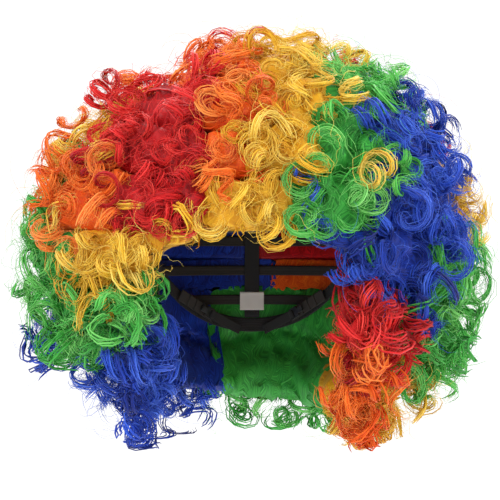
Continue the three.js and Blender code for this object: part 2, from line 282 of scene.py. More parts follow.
class Desk:
    """One new material, and short ways to add and join its nodes."""

    def __init__(self, name: str) -> None:
        """Starts the material."""
        self.made = bpy.data.materials.new(name)
        self.made.use_nodes = True
        self.tree = self.made.node_tree
        self.shader = self.tree.nodes["Principled BSDF"]

    def join(self, value: "bpy.types.NodeSocket | float | tuple", socket: bpy.types.NodeSocket) -> None:
        """Links a socket, or sets a plain value on it."""
        if isinstance(value, bpy.types.NodeSocket):
            self.tree.links.new(value, socket)
        else:
            socket.default_value = value

    def math(self, operation: str, *values: "bpy.types.NodeSocket | float") -> bpy.types.NodeSocket:
        """The result of a Math node on sockets or numbers."""
        node = self.tree.nodes.new("ShaderNodeMath")
        node.operation = operation
        for value, socket in zip(values, node.inputs):
            self.join(value, socket)
        return node.outputs[0]

    def uv(self, scale: tuple[float, float, float]) -> bpy.types.NodeSocket:
        """The piece's UV map, scaled."""
        source = self.tree.nodes.new("ShaderNodeUVMap")
        source.uv_map = "UVMap"
        place = self.tree.nodes.new("ShaderNodeMapping")
        place.inputs["Scale"].default_value = scale
        self.tree.links.new(source.outputs["UV"], place.inputs["Vector"])
        return place.outputs["Vector"]

    def tone(self) -> bpy.types.NodeSocket:
        """The piece's tone attribute."""
        node = self.tree.nodes.new("ShaderNodeAttribute")
        node.attribute_name = "tone"
        return node.outputs["Fac"]

    def noise(self, vector: bpy.types.NodeSocket, scale: float, detail: float) -> bpy.types.NodeSocket:
        """Noise at a scale along a vector."""
        node = self.tree.nodes.new("ShaderNodeTexNoise")
        node.inputs["Scale"].default_value = scale
        node.inputs["Detail"].default_value = detail
        self.tree.links.new(vector, node.inputs["Vector"])
        return node.outputs["Fac"]

    def ramp(self, factor: bpy.types.NodeSocket, *stops: tuple[float, tuple]) -> bpy.types.NodeSocket:
        """A colour ramp through (position, colour) stops."""
        node = self.tree.nodes.new("ShaderNodeValToRGB")
        elements = node.color_ramp.elements
        for i, (position, colour) in enumerate(stops):
            element = elements[i] if i < 2 else elements.new(position)
            element.position = position
            element.color = (*colour, 1.0)
        self.tree.links.new(factor, node.inputs["Fac"])
        return node.outputs["Color"]

    def bump(self, height: bpy.types.NodeSocket, distance: float) -> None:
        """Bends the shading by a height."""
        node = self.tree.nodes.new("ShaderNodeBump")
        node.inputs["Strength"].default_value = 0.6
        node.inputs["Distance"].default_value = distance
        self.tree.links.new(height, node.inputs["Height"])
        self.tree.links.new(node.outputs["Normal"], self.shader.inputs["Normal"])


# ---- the space the hair keeps to -------------------------------------------------------------------


def clear_of_head(points: np.ndarray, margin: float) -> np.ndarray:
    """Points inside the head egg, grown by margin, moved straight out of it from its upright axis."""
    z = points[..., 2]
    half_height = np.where(z > 0.0, HEAD_TOP + margin, HEAD_FALL)
    spread = np.sqrt(np.clip(1.0 - (z / half_height) ** 2, 0.0, 1.0))
    half = (HEAD_HALF + margin) * np.maximum(spread, 1e-6)[..., None]
    reach = np.linalg.norm(points[..., :2] / half, axis=-1)
    factor = np.where((reach < 1.0) & (spread > 0.05), 1.0 / np.maximum(reach, 0.3), 1.0)
    moved = points.copy()
    moved[..., :2] *= factor[..., None]
    return moved


def clear_of_face(tips: np.ndarray, beside: float, above: float) -> np.ndarray:
    """Tips in front of the face, moved up to the fringe or sideways to the edge of the opening.

    Args:
        tips: the ends of locks or fibres.
        beside: how far they end from the sides of the opening.
        above: how far they end from its top.

    Returns:
        The tips, moved by the shorter of the two ways, with a blend where the ways are alike.
    """
    x, y, z = tips[..., 0], tips[..., 1], tips[..., 2]
    under, within = FACE_TOP + above - z, FACE_HALF_WIDTH + beside - np.abs(x)
    inside = np.where((under > 0.0) & (within > 0.0) & (y < FACE_BACK + beside), 1.0, 0.0)
    sideways = smooth_step(under - within, -0.006, 0.006)
    moved = tips.copy()
    moved[..., 0] = x + np.sign(x) * within * sideways * inside
    moved[..., 2] = z + under * (1.0 - sideways) * inside
    return moved


def inside_margin(points: np.ndarray) -> np.ndarray:
    """Points held near the CAD box: past a soft wall inside it, a distance d is cut to r tanh(d / r)."""
    reach = SOFT_WALL + np.array([FRIZZ_MARGIN, FRIZZ_MARGIN, LOW_MARGIN])
    low = np.array(CAD_BOX[0]) + SOFT_WALL
    high = np.array(CAD_BOX[1]) - SOFT_WALL
    top_reach = SOFT_WALL + FRIZZ_MARGIN
    under, over = np.maximum(low - points, 0.0), np.maximum(points - high, 0.0)
    held = np.clip(points, low, high)
    return held - reach * np.tanh(under / reach) + top_reach * np.tanh(over / top_reach)


def drawn_in(points: np.ndarray) -> np.ndarray:
    """How far the hair at the wearer's right stays inside the CAD outline, above and below its widest."""
    high = 0.014 * smooth_step(points[:, 2], 0.03, 0.09)
    low = 0.022 * smooth_step(-points[:, 2], 0.055, 0.11)
    return (high + low) * smooth_step(-points[:, 0], 0.0, 0.08)


# ---- hair -------------------------------------------------------------------------------------------


@dataclass(frozen=True)
class HairFinish:
    """Crimped synthetic fibre: long streaks of two shades, with painted shade that darkens it towards the
    root, and a soft gloss.
    """

    tint: Tint
    roughness: float = 0.48
    specular: float = 0.24
    sheen: float = 0.05

    def material(self) -> bpy.types.Material:
        """The node material, with its colour from the strand's tone, which holds painted shade and painted
        highlight besides the fibre's own tone, and from streaks along it.
        """
        deep, body, lit = self.tint.value
        desk = Desk(self.tint.slot)
        desk.shader.inputs["Roughness"].default_value = self.roughness
        desk.shader.inputs["Specular IOR Level"].default_value = self.specular
        desk.shader.inputs["Sheen Weight"].default_value = self.sheen
        desk.shader.inputs["Sheen Roughness"].default_value = 0.5
        streaks = desk.noise(desk.uv((16.0, 45.0, 1.0)), 1.0, 2.0)
        spread = desk.math("MULTIPLY_ADD", streaks, 1.7, -0.85)
        total = desk.math("ADD", spread, desk.tone())
        colour = desk.ramp(total, (0.0, deep), (1.0, lit), (0.5, body))
        desk.join(colour, desk.shader.inputs["Base Color"])
        return desk.made


@dataclass
class CurlShape:
    """The sizes of one kind of curled strand, in metres."""

    strands: int
    steps: int
    half_width: float
    half_depth: float
    spread_out: float
    spread_along: float
    spread_turn: float
    overrun: float
    wobble: float
    # Shift of tone for this kind: painted highlight above 0, painted shade below 0.
    painted_light_shift: float = 0.0
    sides: int = 3


# FIBRE's positive shift is a painted highlight on the fine fibres; FILLER's negative shift is painted shade
# on the curls beneath.
BAND = CurlShape(9, 22, 0.00062, 0.00034, 0.0017, 0.0017, 0.09, 0.03, 0.0004)
FIBRE = CurlShape(7, 17, 0.00018, 0.00018, 0.0028, 0.0036, 0.50, 0.12, 0.0016, 0.18)
FILLER = CurlShape(6, 14, 0.00085, 0.00050, 0.0026, 0.0030, 0.30, 0.05, 0.0008, -0.06)


@dataclass
class Curls:
    """A set of corkscrew locks: where each ends, which way it grows, and the shape of its coil."""

    tips: np.ndarray
    growth: np.ndarray
    rng: np.random.Generator
    radius: tuple[float, float] = (0.0070, 0.0120)
    length: tuple[float, float] = (0.024, 0.042)
    turns: tuple[float, float] = (1.1, 1.9)
    droop: float = 0.008
    tone: float = 0.5
    frames: dict[str, np.ndarray] = field(default_factory=dict)

    def __post_init__(self) -> None:
        """Draws each lock's own radius, length, turns, phase and hand."""
        count = len(self.tips)
        growth = unit(self.growth)
        helper = np.where(np.abs(growth[:, 2:]) < 0.9, [[0.0, 0.0, 1.0]], [[1.0, 0.0, 0.0]])
        side = unit(np.cross(growth, helper))
        self.frames = {"out": growth, "side": side, "up": np.cross(growth, side)}
        draw = self.rng.uniform
        self.radii = draw(*self.radius, count)
        self.lengths = draw(*self.length, count)
        self.turned = draw(*self.turns, count)
        self.phases = draw(0.0, 2.0 * np.pi, count)
        self.hands = self.rng.choice([-1.0, 1.0], count)
        self.lock_tones = np.clip(self.rng.normal(self.tone, 0.16, count), 0.08, 0.92)

    def strands(self, shape: CurlShape) -> MeshData:
        """Every lock's strands of one kind.

        A strand's middle line at t from 0, its root, to 1, its tip, is the lock's axis point plus a
        radius turned by the lock's turns times t. The radius opens from a third at the root, holds,
        and closes a little at the tip. The axis droops with the square of t.

        Args:
            shape: the sizes of this kind of strand.

        Returns:
            The strands of all locks as one mesh.
        """
        locks, per = len(self.tips), shape.strands
        count = locks * per
        which = np.repeat(np.arange(locks), per)
        draw = self.rng.normal
        t = np.linspace(0.0, 1.0, shape.steps)[None, :]
        stretch = 1.0 + shape.overrun * np.abs(draw(0.0, 1.0, (count, 1)))
        run = t * stretch
        angle = self.phases[which, None] + draw(0.0, shape.spread_turn, (count, 1))
        angle = angle + 2.0 * np.pi * (self.hands * self.turned)[which, None] * run
        opening = 0.35 + 0.65 * smooth_step(run, 0.0, 0.35)
        closing = 1.0 - 0.40 * smooth_step(run, 0.72, 1.1)
        radius = self.radii[which, None] * opening * closing
        radius = radius + draw(0.0, shape.spread_out, (count, 1)) * (0.4 + 0.6 * t)
        wave = 2.0 * np.pi * (draw(0.0, 1.0, (count, 1)) + run * draw(2.5, 0.8, (count, 1)))
        radius = np.maximum(radius + shape.wobble * np.sin(wave), 0.0012)
        along = (run - 1.0) * self.lengths[which, None] + draw(0.0, shape.spread_along, (count, 1))
        along = along + shape.wobble * np.cos(1.7 * wave)
        out, side, up = (self.frames[k][which][:, None, :] for k in ("out", "side", "up"))
        spoke = np.cos(angle)[..., None] * side + np.sin(angle)[..., None] * up
        paths = self.tips[which][:, None, :] + along[..., None] * out + radius[..., None] * spoke
        paths[..., 2] -= self.droop * (run**2 - 0.4)
        paths = inside_margin(clear_of_head(paths, STRAND_GAP))
        taper = smooth_step(t, -0.1, 0.12) * (1.0 - 0.75 * smooth_step(t, 0.86, 1.0))
        size = np.broadcast_to(taper, (count, shape.steps)) * draw(1.0, 0.15, (count, 1)).clip(0.6, 1.4)
        # Tone: the lock's own random tone, plus the kind's painted light shift, plus painted shade that
        # darkens each strand towards its root and lightens its tip.
        tones = self.lock_tones[which, None] + draw(shape.painted_light_shift, 0.12, (count, 1)) + 0.22 * (t - 0.65)
        return swept(
            paths,
            np.broadcast_to(out, paths.shape),
            shape.half_width * size,
            shape.half_depth * size,
            shape.sides,
            np.clip(tones, 0.0, 1.0),
        )


@dataclass
class Flyaways:
    """Single loose fibres that stand off the outside of the hair in open, wavy arcs."""

    roots: np.ndarray
    growth: np.ndarray
    rng: np.random.Generator
    length: tuple[float, float] = (0.020, 0.048)
    steps: int = 14
    half_width: float = 0.00014
    crimp: float = 0.0012

    def strands(self) -> MeshData:
        """All the fibres.

        A fibre leaves its root outwards and bends over with a turn that grows with its length, so
        its line is the running sum of a heading that turns from outwards to along the surface. A
        crimp of a small height, a few waves long, runs along it.

        Returns:
            The fibres as one mesh.
        """
        count = len(self.roots)
        out = unit(self.growth)
        side = unit(np.cross(out, self.rng.normal(size=(count, 3))))
        third = np.cross(out, side)
        t = np.linspace(0.0, 1.0, self.steps)[None, :]
        bend = self.rng.uniform(1.4, 4.2, (count, 1)) * t + self.rng.uniform(0.2, 0.9, (count, 1))
        step = self.rng.uniform(*self.length, (count, 1)) / (self.steps - 1)
        heading = np.cos(bend)[..., None] * out[:, None, :] + np.sin(bend)[..., None] * side[:, None, :]
        ahead = step[..., None] * heading
        crimp = self.crimp * np.sin(2.0 * np.pi * (self.rng.uniform(1.5, 4.0, (count, 1)) * t))
        paths = self.roots[:, None, :] + np.cumsum(ahead, axis=1) + crimp[..., None] * third[:, None, :]
        paths = inside_margin(clear_of_head(paths, STRAND_GAP))
        size = np.broadcast_to(self.half_width * (1.0 - 0.6 * t), paths.shape[:2])
        # Painted highlight: loose fibres take a high tone, to read as pale wisps against the light.
        tones = np.broadcast_to(self.rng.uniform(0.55, 1.0, (count, 1)), paths.shape[:2])
        return swept(paths, np.broadcast_to(third[:, None, :], paths.shape), size, size, 3, tones)


def triangles_of(node: str) -> np.ndarray:
    """The (count, 3, 3) corners of a CAD node's triangles."""
    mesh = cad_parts[node].data
    mesh.calc_loop_triangles()
    points = np.empty(3 * len(mesh.vertices))
    mesh.vertices.foreach_get("co", points)
    corners = np.empty(3 * len(mesh.loop_triangles), dtype=np.int32)
    mesh.loop_triangles.foreach_get("vertices", corners)
    return points.reshape(-1, 3)[corners.reshape(-1, 3)]


def well_spaced(points: np.ndarray, gap: np.ndarray) -> np.ndarray:
    """Indices of points, taken in their order, that keep a gap from those already taken.

    Args:
        points: (count, 3) candidates.
        gap: (count,) the least distance from each point to those kept before it.

    Returns:
        The indices kept.
    """
    kept: list[int] = []
    places = np.empty((0, 3))
    for index in range(len(points)):
        if len(places) == 0 or np.min(np.sum((places - points[index]) ** 2, axis=1)) > gap[index] ** 2:
            kept.append(index)
            places = points[kept]
    return np.array(kept)


@dataclass
class Skin:
    """Points scattered over the faces of the hair bundles that can be seen.

    `inside` is 0 on the outside, 1 beside and above the face, and 2 or more towards the neck.
    """

    points: np.ndarray
    normals: np.ndarray
    owner: np.ndarray
    inside: np.ndarray

    def taken(self, kept: np.ndarray) -> "Skin":
        """The chosen points only, in the order given."""
        return Skin(self.points[kept], self.normals[kept], self.owner[kept], self.inside[kept])

    def spaced(self, gap: float, allowed: np.ndarray) -> "Skin":
        """Those of the allowed points that keep a gap from each other, closer in front than behind."""
        tried = np.flatnonzero(allowed)
        gaps = gap * (0.86 + 0.31 * smooth_step(self.points[tried, 1], -0.06, 0.06))
        return self.taken(tried[well_spaced(self.points[tried], gaps)])

    def ragged(self, spread: float, rng: np.random.Generator, source: "Skin") -> np.ndarray:
        """The bundle of each point, mixed across the borders.

        Args:
            spread: how far a lock may stray from its own bundle.
            rng: the random source.
            source: the dense points whose bundles are known.

        Returns:
            For each point, the bundle of the dense point nearest to a place drawn about it, which on
            the wearer's left is also raised by BORDER_DROP.
        """
        drawn = self.points + rng.normal(0.0, spread, self.points.shape)
        drawn[:, 2] += BORDER_DROP * smooth_step(self.points[:, 0], 0.05, 0.12)
        far = np.sum(drawn**2, axis=1)[:, None] - 2.0 * drawn @ source.points.T
        return source.owner[np.argmin(far + np.sum(source.points**2, axis=1)[None, :], axis=1)]


@dataclass
class Layer:
    """One layer of locks over all the bundles."""

    tips: np.ndarray
    growth: np.ndarray
    owner: np.ndarray
    shapes: tuple[CurlShape, ...]
    look: dict[str, object] = field(default_factory=dict)

    def strands(self, bundle: int, seed: int) -> list[MeshData]:
        """The strands of the locks of one bundle, or none."""
        mine = self.owner == bundle
        if not mine.any():
            return []
        curls = Curls(self.tips[mine], self.growth[mine], np.random.default_rng(seed), **self.look)
        return [curls.strands(shape) for shape in self.shapes]


@dataclass
class HairCoat:
    """All the bundles of hair, one piece for each CAD bundle that it replaces."""

    body: str = "cap"
    gap: float = 0.0175
    inner_gap: float = 0.0225
    depth: float = 0.011
    inner_depth: float = 0.024
    side_depth: float = 0.009
    fringe_depth: float = 0.010
    neck_gap: float = 0.0165
    candidates: int = 9000
    flyaways: int = 1500
    lean: float = 0.42
    least_rise: float = 0.45
    lump: float = 0.007
    stray: float = 0.0075
    underlay_shrink: float = 0.18
    underlay_voxel: float = 0.006
    underlay_swell: float = 0.0062
    underlay_painted_shade: float = 0.14
    fold_share: float = 0.012
    clump_share: float = 0.014
    seed: int = 20

    def skin(self, rng: np.random.Generator, names: list[str]) -> Skin:
        """Dense points on the sides of the bundles that can be seen.

        These are the outside, the two sides beside the face, and the side towards the neck below
        the nape band.

        Args:
            rng: the random source.
            names: the bundles' nodes.

        Returns:
            The points.
        """
        triangles, owners = [], []
        for i, name in enumerate(names):
            found = triangles_of(name)
            triangles.append(found)
            owners.append(np.full(len(found), i))
        corners, owner = np.concatenate(triangles), np.concatenate(owners)
        cross = np.cross(corners[:, 1] - corners[:, 0], corners[:, 2] - corners[:, 0])
        normals, area = unit(cross), np.linalg.norm(cross, axis=1) / 2.0
        middle = corners.mean(axis=1)
        outward = np.sum(normals * unit(middle), axis=1) > 0.5
        cheek = (np.abs(normals[:, 0]) > 0.9) & (middle[:, 1] < FACE_BACK) & (middle[:, 2] < 0.01)
        cheek &= normals[:, 0] * middle[:, 0] < 0.0
        over_face = np.abs(middle[:, 2] - FACE_TOP) < 0.004
        fringe = (normals[:, 2] < -0.9) & (middle[:, 1] < FACE_BACK) & over_face
        level = unit(middle * [1.0, 1.0, 0.0])
        neck = (np.sum(normals * level, axis=1) < -0.5) & (middle[:, 2] < -0.055)
        weight = np.where(outward | cheek | fringe | neck, area, 0.0)
        chosen = rng.choice(len(weight), self.candidates, p=weight / weight.sum())
        a, b = rng.uniform(size=(2, self.candidates, 1))
        fold = a + b > 1.0
        a, b = np.where(fold, 1.0 - a, a), np.where(fold, 1.0 - b, b)
        c = corners[chosen]
        points = c[:, 0] + a * (c[:, 1] - c[:, 0]) + b * (c[:, 2] - c[:, 0])
        return Skin(points, normals[chosen], owner[chosen], ((cheek | fringe) * 1 + neck * 2)[chosen])

    def underlay(self, name: str) -> MeshData:
        """The dense inner part of a bundle, which the curls cover, in one low tone that is painted shade
        between the curls.

        The bundle's own shape with an even skin. A point's distance from the head's middle shrinks by
        a share that grows from its root to its outside, folds and clumps run over it, and it keeps
        back from the face and the neck.

        Args:
            name: the CAD bundle.

        Returns:
            The closed skin, with U round the head and V outwards.
        """
        places, quads = remeshed(triangles_of(name), self.underlay_voxel, self.underlay_swell)
        reach = np.linalg.norm(places, axis=1)
        share = self.underlay_shrink * smooth_step(reach, 0.085, 0.145)
        turn = np.arctan2(places[:, 0], -places[:, 1])
        middle = np.arctan2(np.sin(turn).mean(), np.cos(turn).mean())
        away = (turn - middle + np.pi) % (2.0 * np.pi) - np.pi
        rise = np.arcsin(places[:, 2] / reach)
        folds = np.sin(away * 60.0 + 2.0 * np.sin(rise * 31.0)) * np.sin(rise * 47.0 + away * 9.0)
        clumps = np.sin(places @ np.array([[310.0, 120.0], [-140.0, 290.0], [190.0, -230.0]])).sum(axis=1)
        swell = self.fold_share * folds * smooth_step(reach, 0.10, 0.13)
        swell = swell + self.clump_share * clumps * smooth_step(reach, 0.115, 0.15)
        share = share + 0.9 * drawn_in(places) / reach
        places = places * (1.0 - share + swell)[:, None]
        beside = smooth_step(-places[:, 1], 0.0, -FACE_BACK) * smooth_step(-places[:, 2], -0.02, 0.01)
        least = (FACE_HALF_WIDTH + 0.010 + 0.003 * clumps) * beside
        places[:, 0] = np.sign(places[:, 0]) * np.maximum(np.abs(places[:, 0]), least)
        low = 0.010 * smooth_step(-places[:, 2], 0.055, 0.08) * (1.0 + 0.3 * clumps)
        places = clear_of_head(places, INNER_GAP)
        places[:, :2] += unit(places[:, :2]) * (low * smooth_step(0.155 - reach, 0.0, 0.03))[:, None]
        crimp = 0.35 * np.sin(reach * 420.0 + 3.0 * np.sin(away * 25.0) + rise * 30.0)
        uv = np.stack([away * 7.5 + crimp + rise * 2.0, reach], -1)[quads.ravel()]
        # Painted shade: the whole underlay takes a low tone, so that it reads as shade between the curls.
        tones = np.full(len(places), self.underlay_painted_shade)
        return MeshData(places, quads.ravel(), np.full(len(quads), 4), uv, tones)

    def outside(self, dense: Skin, rng: np.random.Generator) -> Layer:
        """The curls that are seen: their tips stand at gently changing depths under the CAD outline.

        A lock grows along the skin's normal, leaned at random. One that would lie flat is raised
        until it grows outwards by at least `least_rise`, roughly.

        Args:
            dense: the dense points, of which the outer ones are thinned.
            rng: the random source.

        Returns:
            The layer of bands and fibres.
        """
        skin = dense.spaced(self.gap, dense.inside < 2)
        crossing = np.array([[61.0, 23.0], [34.0, -57.0], [-28.0, 49.0]])
        waves = np.sin(skin.points @ crossing * 1.2).sum(axis=1) / 2.0
        straight = unit(0.6 * unit(skin.points) + skin.normals)
        growth = unit(straight + rng.normal(0.0, self.lean, straight.shape))
        lying = np.maximum(self.least_rise - np.sum(growth * straight, axis=1, keepdims=True), 0.0)
        growth = unit(growth + 1.5 * lying * straight)
        depth = np.where(skin.inside > 0, self.side_depth, self.depth + drawn_in(skin.points))
        stand = self.lump * waves - depth + rng.normal(0.0, 0.003, len(growth))
        tips = clear_of_face(skin.points + growth * stand[:, None], self.side_depth, self.fringe_depth)
        return Layer(tips, growth, skin.ragged(self.stray, rng, dense), (BAND, FIBRE))

    def filling(self, skin: Skin, dense: Skin, depth: float, rng: np.random.Generator) -> Layer:
        """The coarser curls under those, or towards the neck.

        Args:
            skin: the spaced points that they stand under.
            dense: the dense points whose bundles are known.
            depth: how far under the CAD outline their tips are, on the outside.
            rng: the random source.

        Returns:
            The layer.
        """
        growth = unit(0.4 * unit(skin.points) + skin.normals + rng.normal(0.0, 0.6, skin.points.shape))
        under = np.where(skin.inside > 0, self.side_depth, depth + drawn_in(skin.points))
        tips = clear_of_face(skin.points - under[:, None] * skin.normals, 0.012, self.fringe_depth)
        # Painted shade: the deeper curls take a lower mean tone of 0.34.
        look = {"radius": (0.008, 0.013), "length": (0.016, 0.030), "turns": (0.9, 1.5), "tone": 0.34}
        return Layer(tips, growth, skin.ragged(0.002, rng, dense), (FILLER,), look)

    def build(self) -> list[bpy.types.Object]:
        """Makes every bundle's piece and hangs it on the cap.

        Returns:
            The pieces, in the order of their names.
        """
        rng = np.random.default_rng(self.seed)
        names = sorted(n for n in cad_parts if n.startswith("hair_"))
        dense = self.skin(rng, names)
        other = dense.taken(np.arange(self.candidates)[::-1])
        layers = [
            self.outside(dense, rng),
            self.filling(other.spaced(self.inner_gap, other.inside < 2), dense, self.inner_depth, rng),
            self.filling(other.spaced(self.neck_gap, other.inside >= 2), dense, self.side_depth, rng),
        ]
        loose = dense.taken(np.arange(self.flyaways))
        materials = {tint: HairFinish(tint).material() for tint in Tint}
        made = []
        for i, name in enumerate(names):
            tint = next(t for t in Tint if f"_{t.name.lower()}" in name)
            parts = [self.underlay(name)]
            for k, layer in enumerate(layers):
                parts += layer.strands(i, self.seed + 1 + i + 100 * k)
            free = loose.owner == i
            if free.any():
                under = self.depth + drawn_in(loose.points[free])
                roots = loose.points[free] - under[:, None] * loose.normals[free]
                seed = np.random.default_rng(self.seed + 401 + i)
                parts.append(Flyaways(roots, loose.normals[free], seed).strands())
            data = MeshData.join(parts)
            piece = data.to_object(name + "_curls", materials[tint])
            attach(piece, self.body)
            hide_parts(name)
            made.append(piece)
            LOG.info("%s: %d faces", piece.name, len(data.sizes))
        return made


# ---- the cap's cloth ---------------------------------------------------------------------------------


def cells_of(grid: np.ndarray) -> np.ndarray:
    """The cells of a grid of indices, as rows of four."""
    return np.stack([grid[:-1, :-1], grid[1:, :-1], grid[1:, 1:], grid[:-1, 1:]], -1).reshape(-1, 4)


def border_of(grid: np.ndarray, ring: bool) -> np.ndarray:
    """The edges round a grid of indices, in the order in which its outer face meets them.

    Args:
        grid: (rows, columns) indices.
        ring: whether the last row joins the first, so that only the two long sides are edges.

    Returns:
        The (edges, 2) indices.
    """
    edges = [np.stack([grid[:-1, 0], grid[1:, 0]], -1), np.stack([grid[1:, -1], grid[:-1, -1]], -1)]
    if not ring:
        edges.append(np.stack([grid[-1, :-1], grid[-1, 1:]], -1))
        edges.append(np.stack([grid[0, 1:], grid[0, :-1]], -1))
    return np.concatenate(edges)


def closed_sheet(
    outer: np.ndarray, inner: np.ndarray, uv: np.ndarray, tone: float = 0.0, ring: bool = False
) -> MeshData:
    """A closed sheet between two grids of points, with its rims closed.

    The outer grid faces out where its first direction crossed with its second points out. The inner
    grid has the same faces turned round, and a quad joins the two along each edge of the border.

    Args:
        outer: (rows, columns, 3) points of the outer face.
        inner: (rows, columns, 3) points of the inner face, in step with the outer one.
        uv: (rows, columns, 2) place on the cloth in metres, or one row more on a ring.
        tone: the sheet's tone.
        ring: whether the last row joins the first.

    Returns:
        The closed sheet.
    """
    rows, columns, _ = outer.shape
    index = np.arange(rows * columns).reshape(rows, columns)
    place = np.arange((rows + 1) * columns if ring else rows * columns).reshape(-1, columns)
    if ring:
        index = np.concatenate([index, index[:1]])
    flat_uv = uv.reshape(-1, 2)

    shift = rows * columns
    border, border_place = border_of(index, ring), border_of(place, ring)
    rim = np.stack([border[:, 1], border[:, 0], border[:, 0] + shift, border[:, 1] + shift], -1)
    rim_place = border_place[:, [1, 0, 0, 1]]
    faces = np.concatenate([cells_of(index), cells_of(index)[:, ::-1] + shift, rim])
    places = np.concatenate([cells_of(place), cells_of(place)[:, ::-1], rim_place])
    points = np.concatenate([outer.reshape(-1, 3), inner.reshape(-1, 3)])
    tones = np.full(len(points), tone)
    return MeshData(points, faces.ravel(), np.full(len(faces), 4), flat_uv[places.ravel()], tones)


def rounded(share: np.ndarray, power: float = 8.0) -> np.ndarray:
    """1 over the middle of a strip and less at its edges: the power root of 1 less |share| to the power."""
    return np.clip(1.0 - np.abs(share) ** power, 0.0, 1.0) ** (1.0 / power) * 0.85 + 0.15


@dataclass(frozen=True)
class CapShape:
    """The stretch cap: an egg that fits the head, cut along the hairline, over the ears and at the nape."""

    hairline: float = 0.010
    ear_y: float = 0.015
    ear_z: float = -0.012
    nape_slope: float = -0.79
    band_height: float = 0.014
    thickness: float = 0.0012
    gap: float = 0.0003
    net_edge: float = 0.060

    @property
    def stretch(self) -> float:
        """Length of the head against its width."""
        return float(HEAD_HALF[1] / HEAD_HALF[0])

    def radius(self, z: np.ndarray) -> np.ndarray:
        """The half width of the head at a height."""
        half = np.where(z > 0.0, HEAD_TOP, HEAD_FALL)
        return HEAD_HALF[0] * np.sqrt(np.clip(1.0 - (z / half) ** 2, 0.0, 1.0))

    def point(self, turn: np.ndarray, z: np.ndarray, offset: np.ndarray | float) -> np.ndarray:
        """Places on the cap, moved out along its outline's normal.

        Args:
            turn: azimuth, 0 in front and a quarter turn at the wearer's left.
            z: height on the inside of the cap.
            offset: distance outwards.

        Returns:
            The points: the outline's radius and height plus offset times the normal, then turned.
        """
        half = np.where(z > 0.0, HEAD_TOP, HEAD_FALL)
        radius = self.radius(z)
        normal_r, normal_z = radius / HEAD_HALF[0] ** 2, z / half**2
        length = np.hypot(normal_r, normal_z)
        reach, height = radius + offset * normal_r / length, z + offset * normal_z / length
        return np.stack([reach * np.sin(turn), -self.stretch * reach * np.cos(turn), height], -1)

    def front_edge(self, y: np.ndarray) -> np.ndarray:
        """The height of the edge in front of the ear."""
        back = HEAD_HALF[1]
        return self.hairline + (self.ear_z - self.hairline) * (y + back) / (self.ear_y + back)

    def nape_edge(self, y: np.ndarray) -> np.ndarray:
        """The height of the edge behind the ear."""
        return self.ear_z + self.nape_slope * (y - self.ear_y)

    def edge(self, y: np.ndarray) -> np.ndarray:
        """The height of the whole edge."""
        return np.where(y < self.ear_y, self.front_edge(y), self.nape_edge(y))

    def edge_height(self, turn: np.ndarray, rise: np.ndarray | float) -> np.ndarray:
        """The height on the cap at each azimuth where it is `rise` above the edge, by repeated guesses."""
        z = np.zeros_like(turn)
        for _ in range(30):
            z = self.edge(-self.stretch * self.radius(z) * np.cos(turn)) + rise
        return z

    def turn_at(self, y: np.ndarray | float, z: np.ndarray | float) -> np.ndarray:
        """The azimuth, at the wearer's left, of a distance from front to back at a height."""
        return np.arccos(np.clip(-np.asarray(y) / (self.stretch * self.radius(np.asarray(z))), -1.0, 1.0))

    def strip(
        self, turn: np.ndarray, z: np.ndarray, low: float, high: float, rib: float, ring: bool = False
    ) -> MeshData:
        """A closed strip of cloth on the cap, with rounded edges and fine ribs along it.

        Args:
            turn: (rows, columns) azimuths, columns running across the strip.
            z: (rows, columns) heights.
            low: offset of the inner face.
            high: offset of the outer face.
            rib: depth of the ribs, one to every four columns.
            ring: whether the strip closes on itself.

        Returns:
            The strip, with U across it and V along it, in metres.
        """
        columns = turn.shape[1]
        share = np.linspace(-1.0, 1.0, columns)[None, :]
        ribs = rib * np.cos(np.pi * np.arange(columns) / 2.0)[None, :]
        half = (high - low) / 2.0 * rounded(share) - rib + ribs
        middle = (high + low) / 2.0
        centre = self.point(turn, z, middle)
        across = np.cumsum(np.linalg.norm(np.diff(centre, axis=1, prepend=centre[:, :1]), axis=-1), axis=1)
        along = np.cumsum(np.linalg.norm(np.diff(centre, axis=0, prepend=centre[:1]), axis=-1), axis=0)
        uv = np.stack([across, np.broadcast_to(along.mean(axis=1, keepdims=True), across.shape)], -1)
        if ring:
            last = np.linalg.norm(centre[-1] - centre[0], axis=-1).mean()
            uv = np.concatenate([uv, uv[:1] + [0.0, along[-1].mean() + last]])
        return closed_sheet(
            self.point(turn, z, middle + half), self.point(turn, z, middle - half), uv, 0.0, ring
        )

    def stitches(
        self, turn: np.ndarray, z: np.ndarray, offset: float, pitch: float, thick: float
    ) -> MeshData:
        """A row of sewing stitches along a line on the cap.

        Each stitch is a short closed strand that rises out of the cloth and goes back into it.

        Args:
            turn: azimuths of the line's points.
            z: their heights.
            offset: the cloth's face, as a distance out from the head.
            pitch: distance from one stitch to the next.
            thick: half thickness of the thread.

        Returns:
            The stitches, with a tone of 1.
        """
        line = self.point(turn, z, offset)
        length = np.concatenate([[0.0], np.cumsum(np.linalg.norm(np.diff(line, axis=0), axis=-1))])
        count = max(1, int(length[-1] / pitch))
        starts = (np.arange(count) + 0.15) * length[-1] / count
        t = np.linspace(0.0, 1.0, 5)
        place = starts[:, None] + 0.7 * pitch * t[None, :]
        turns, heights = np.interp(place, length, turn), np.interp(place, length, z)
        lift = 1.2 * thick * (np.sin(np.pi * t) * 1.4 - 0.7)[None, :]
        inward = -1.0 if offset <= self.thickness / 2.0 else 1.0
        paths = self.point(turns, heights, offset + inward * lift)
        across = np.broadcast_to(np.array([0.0, 0.0, 1.0]), paths.shape)
        size = np.full(paths.shape[:2], thick)
        row = swept(paths, across + 0.01, size, size, 4, np.ones(paths.shape[:2]))
        row.uvs[:, 0] *= 2.0 * np.pi * thick
        return row


class Weave(Enum):
    """How a cloth's threads lie."""

    RIBBED = "ribbed"
    NETTED = "netted"
    SATIN = "satin"


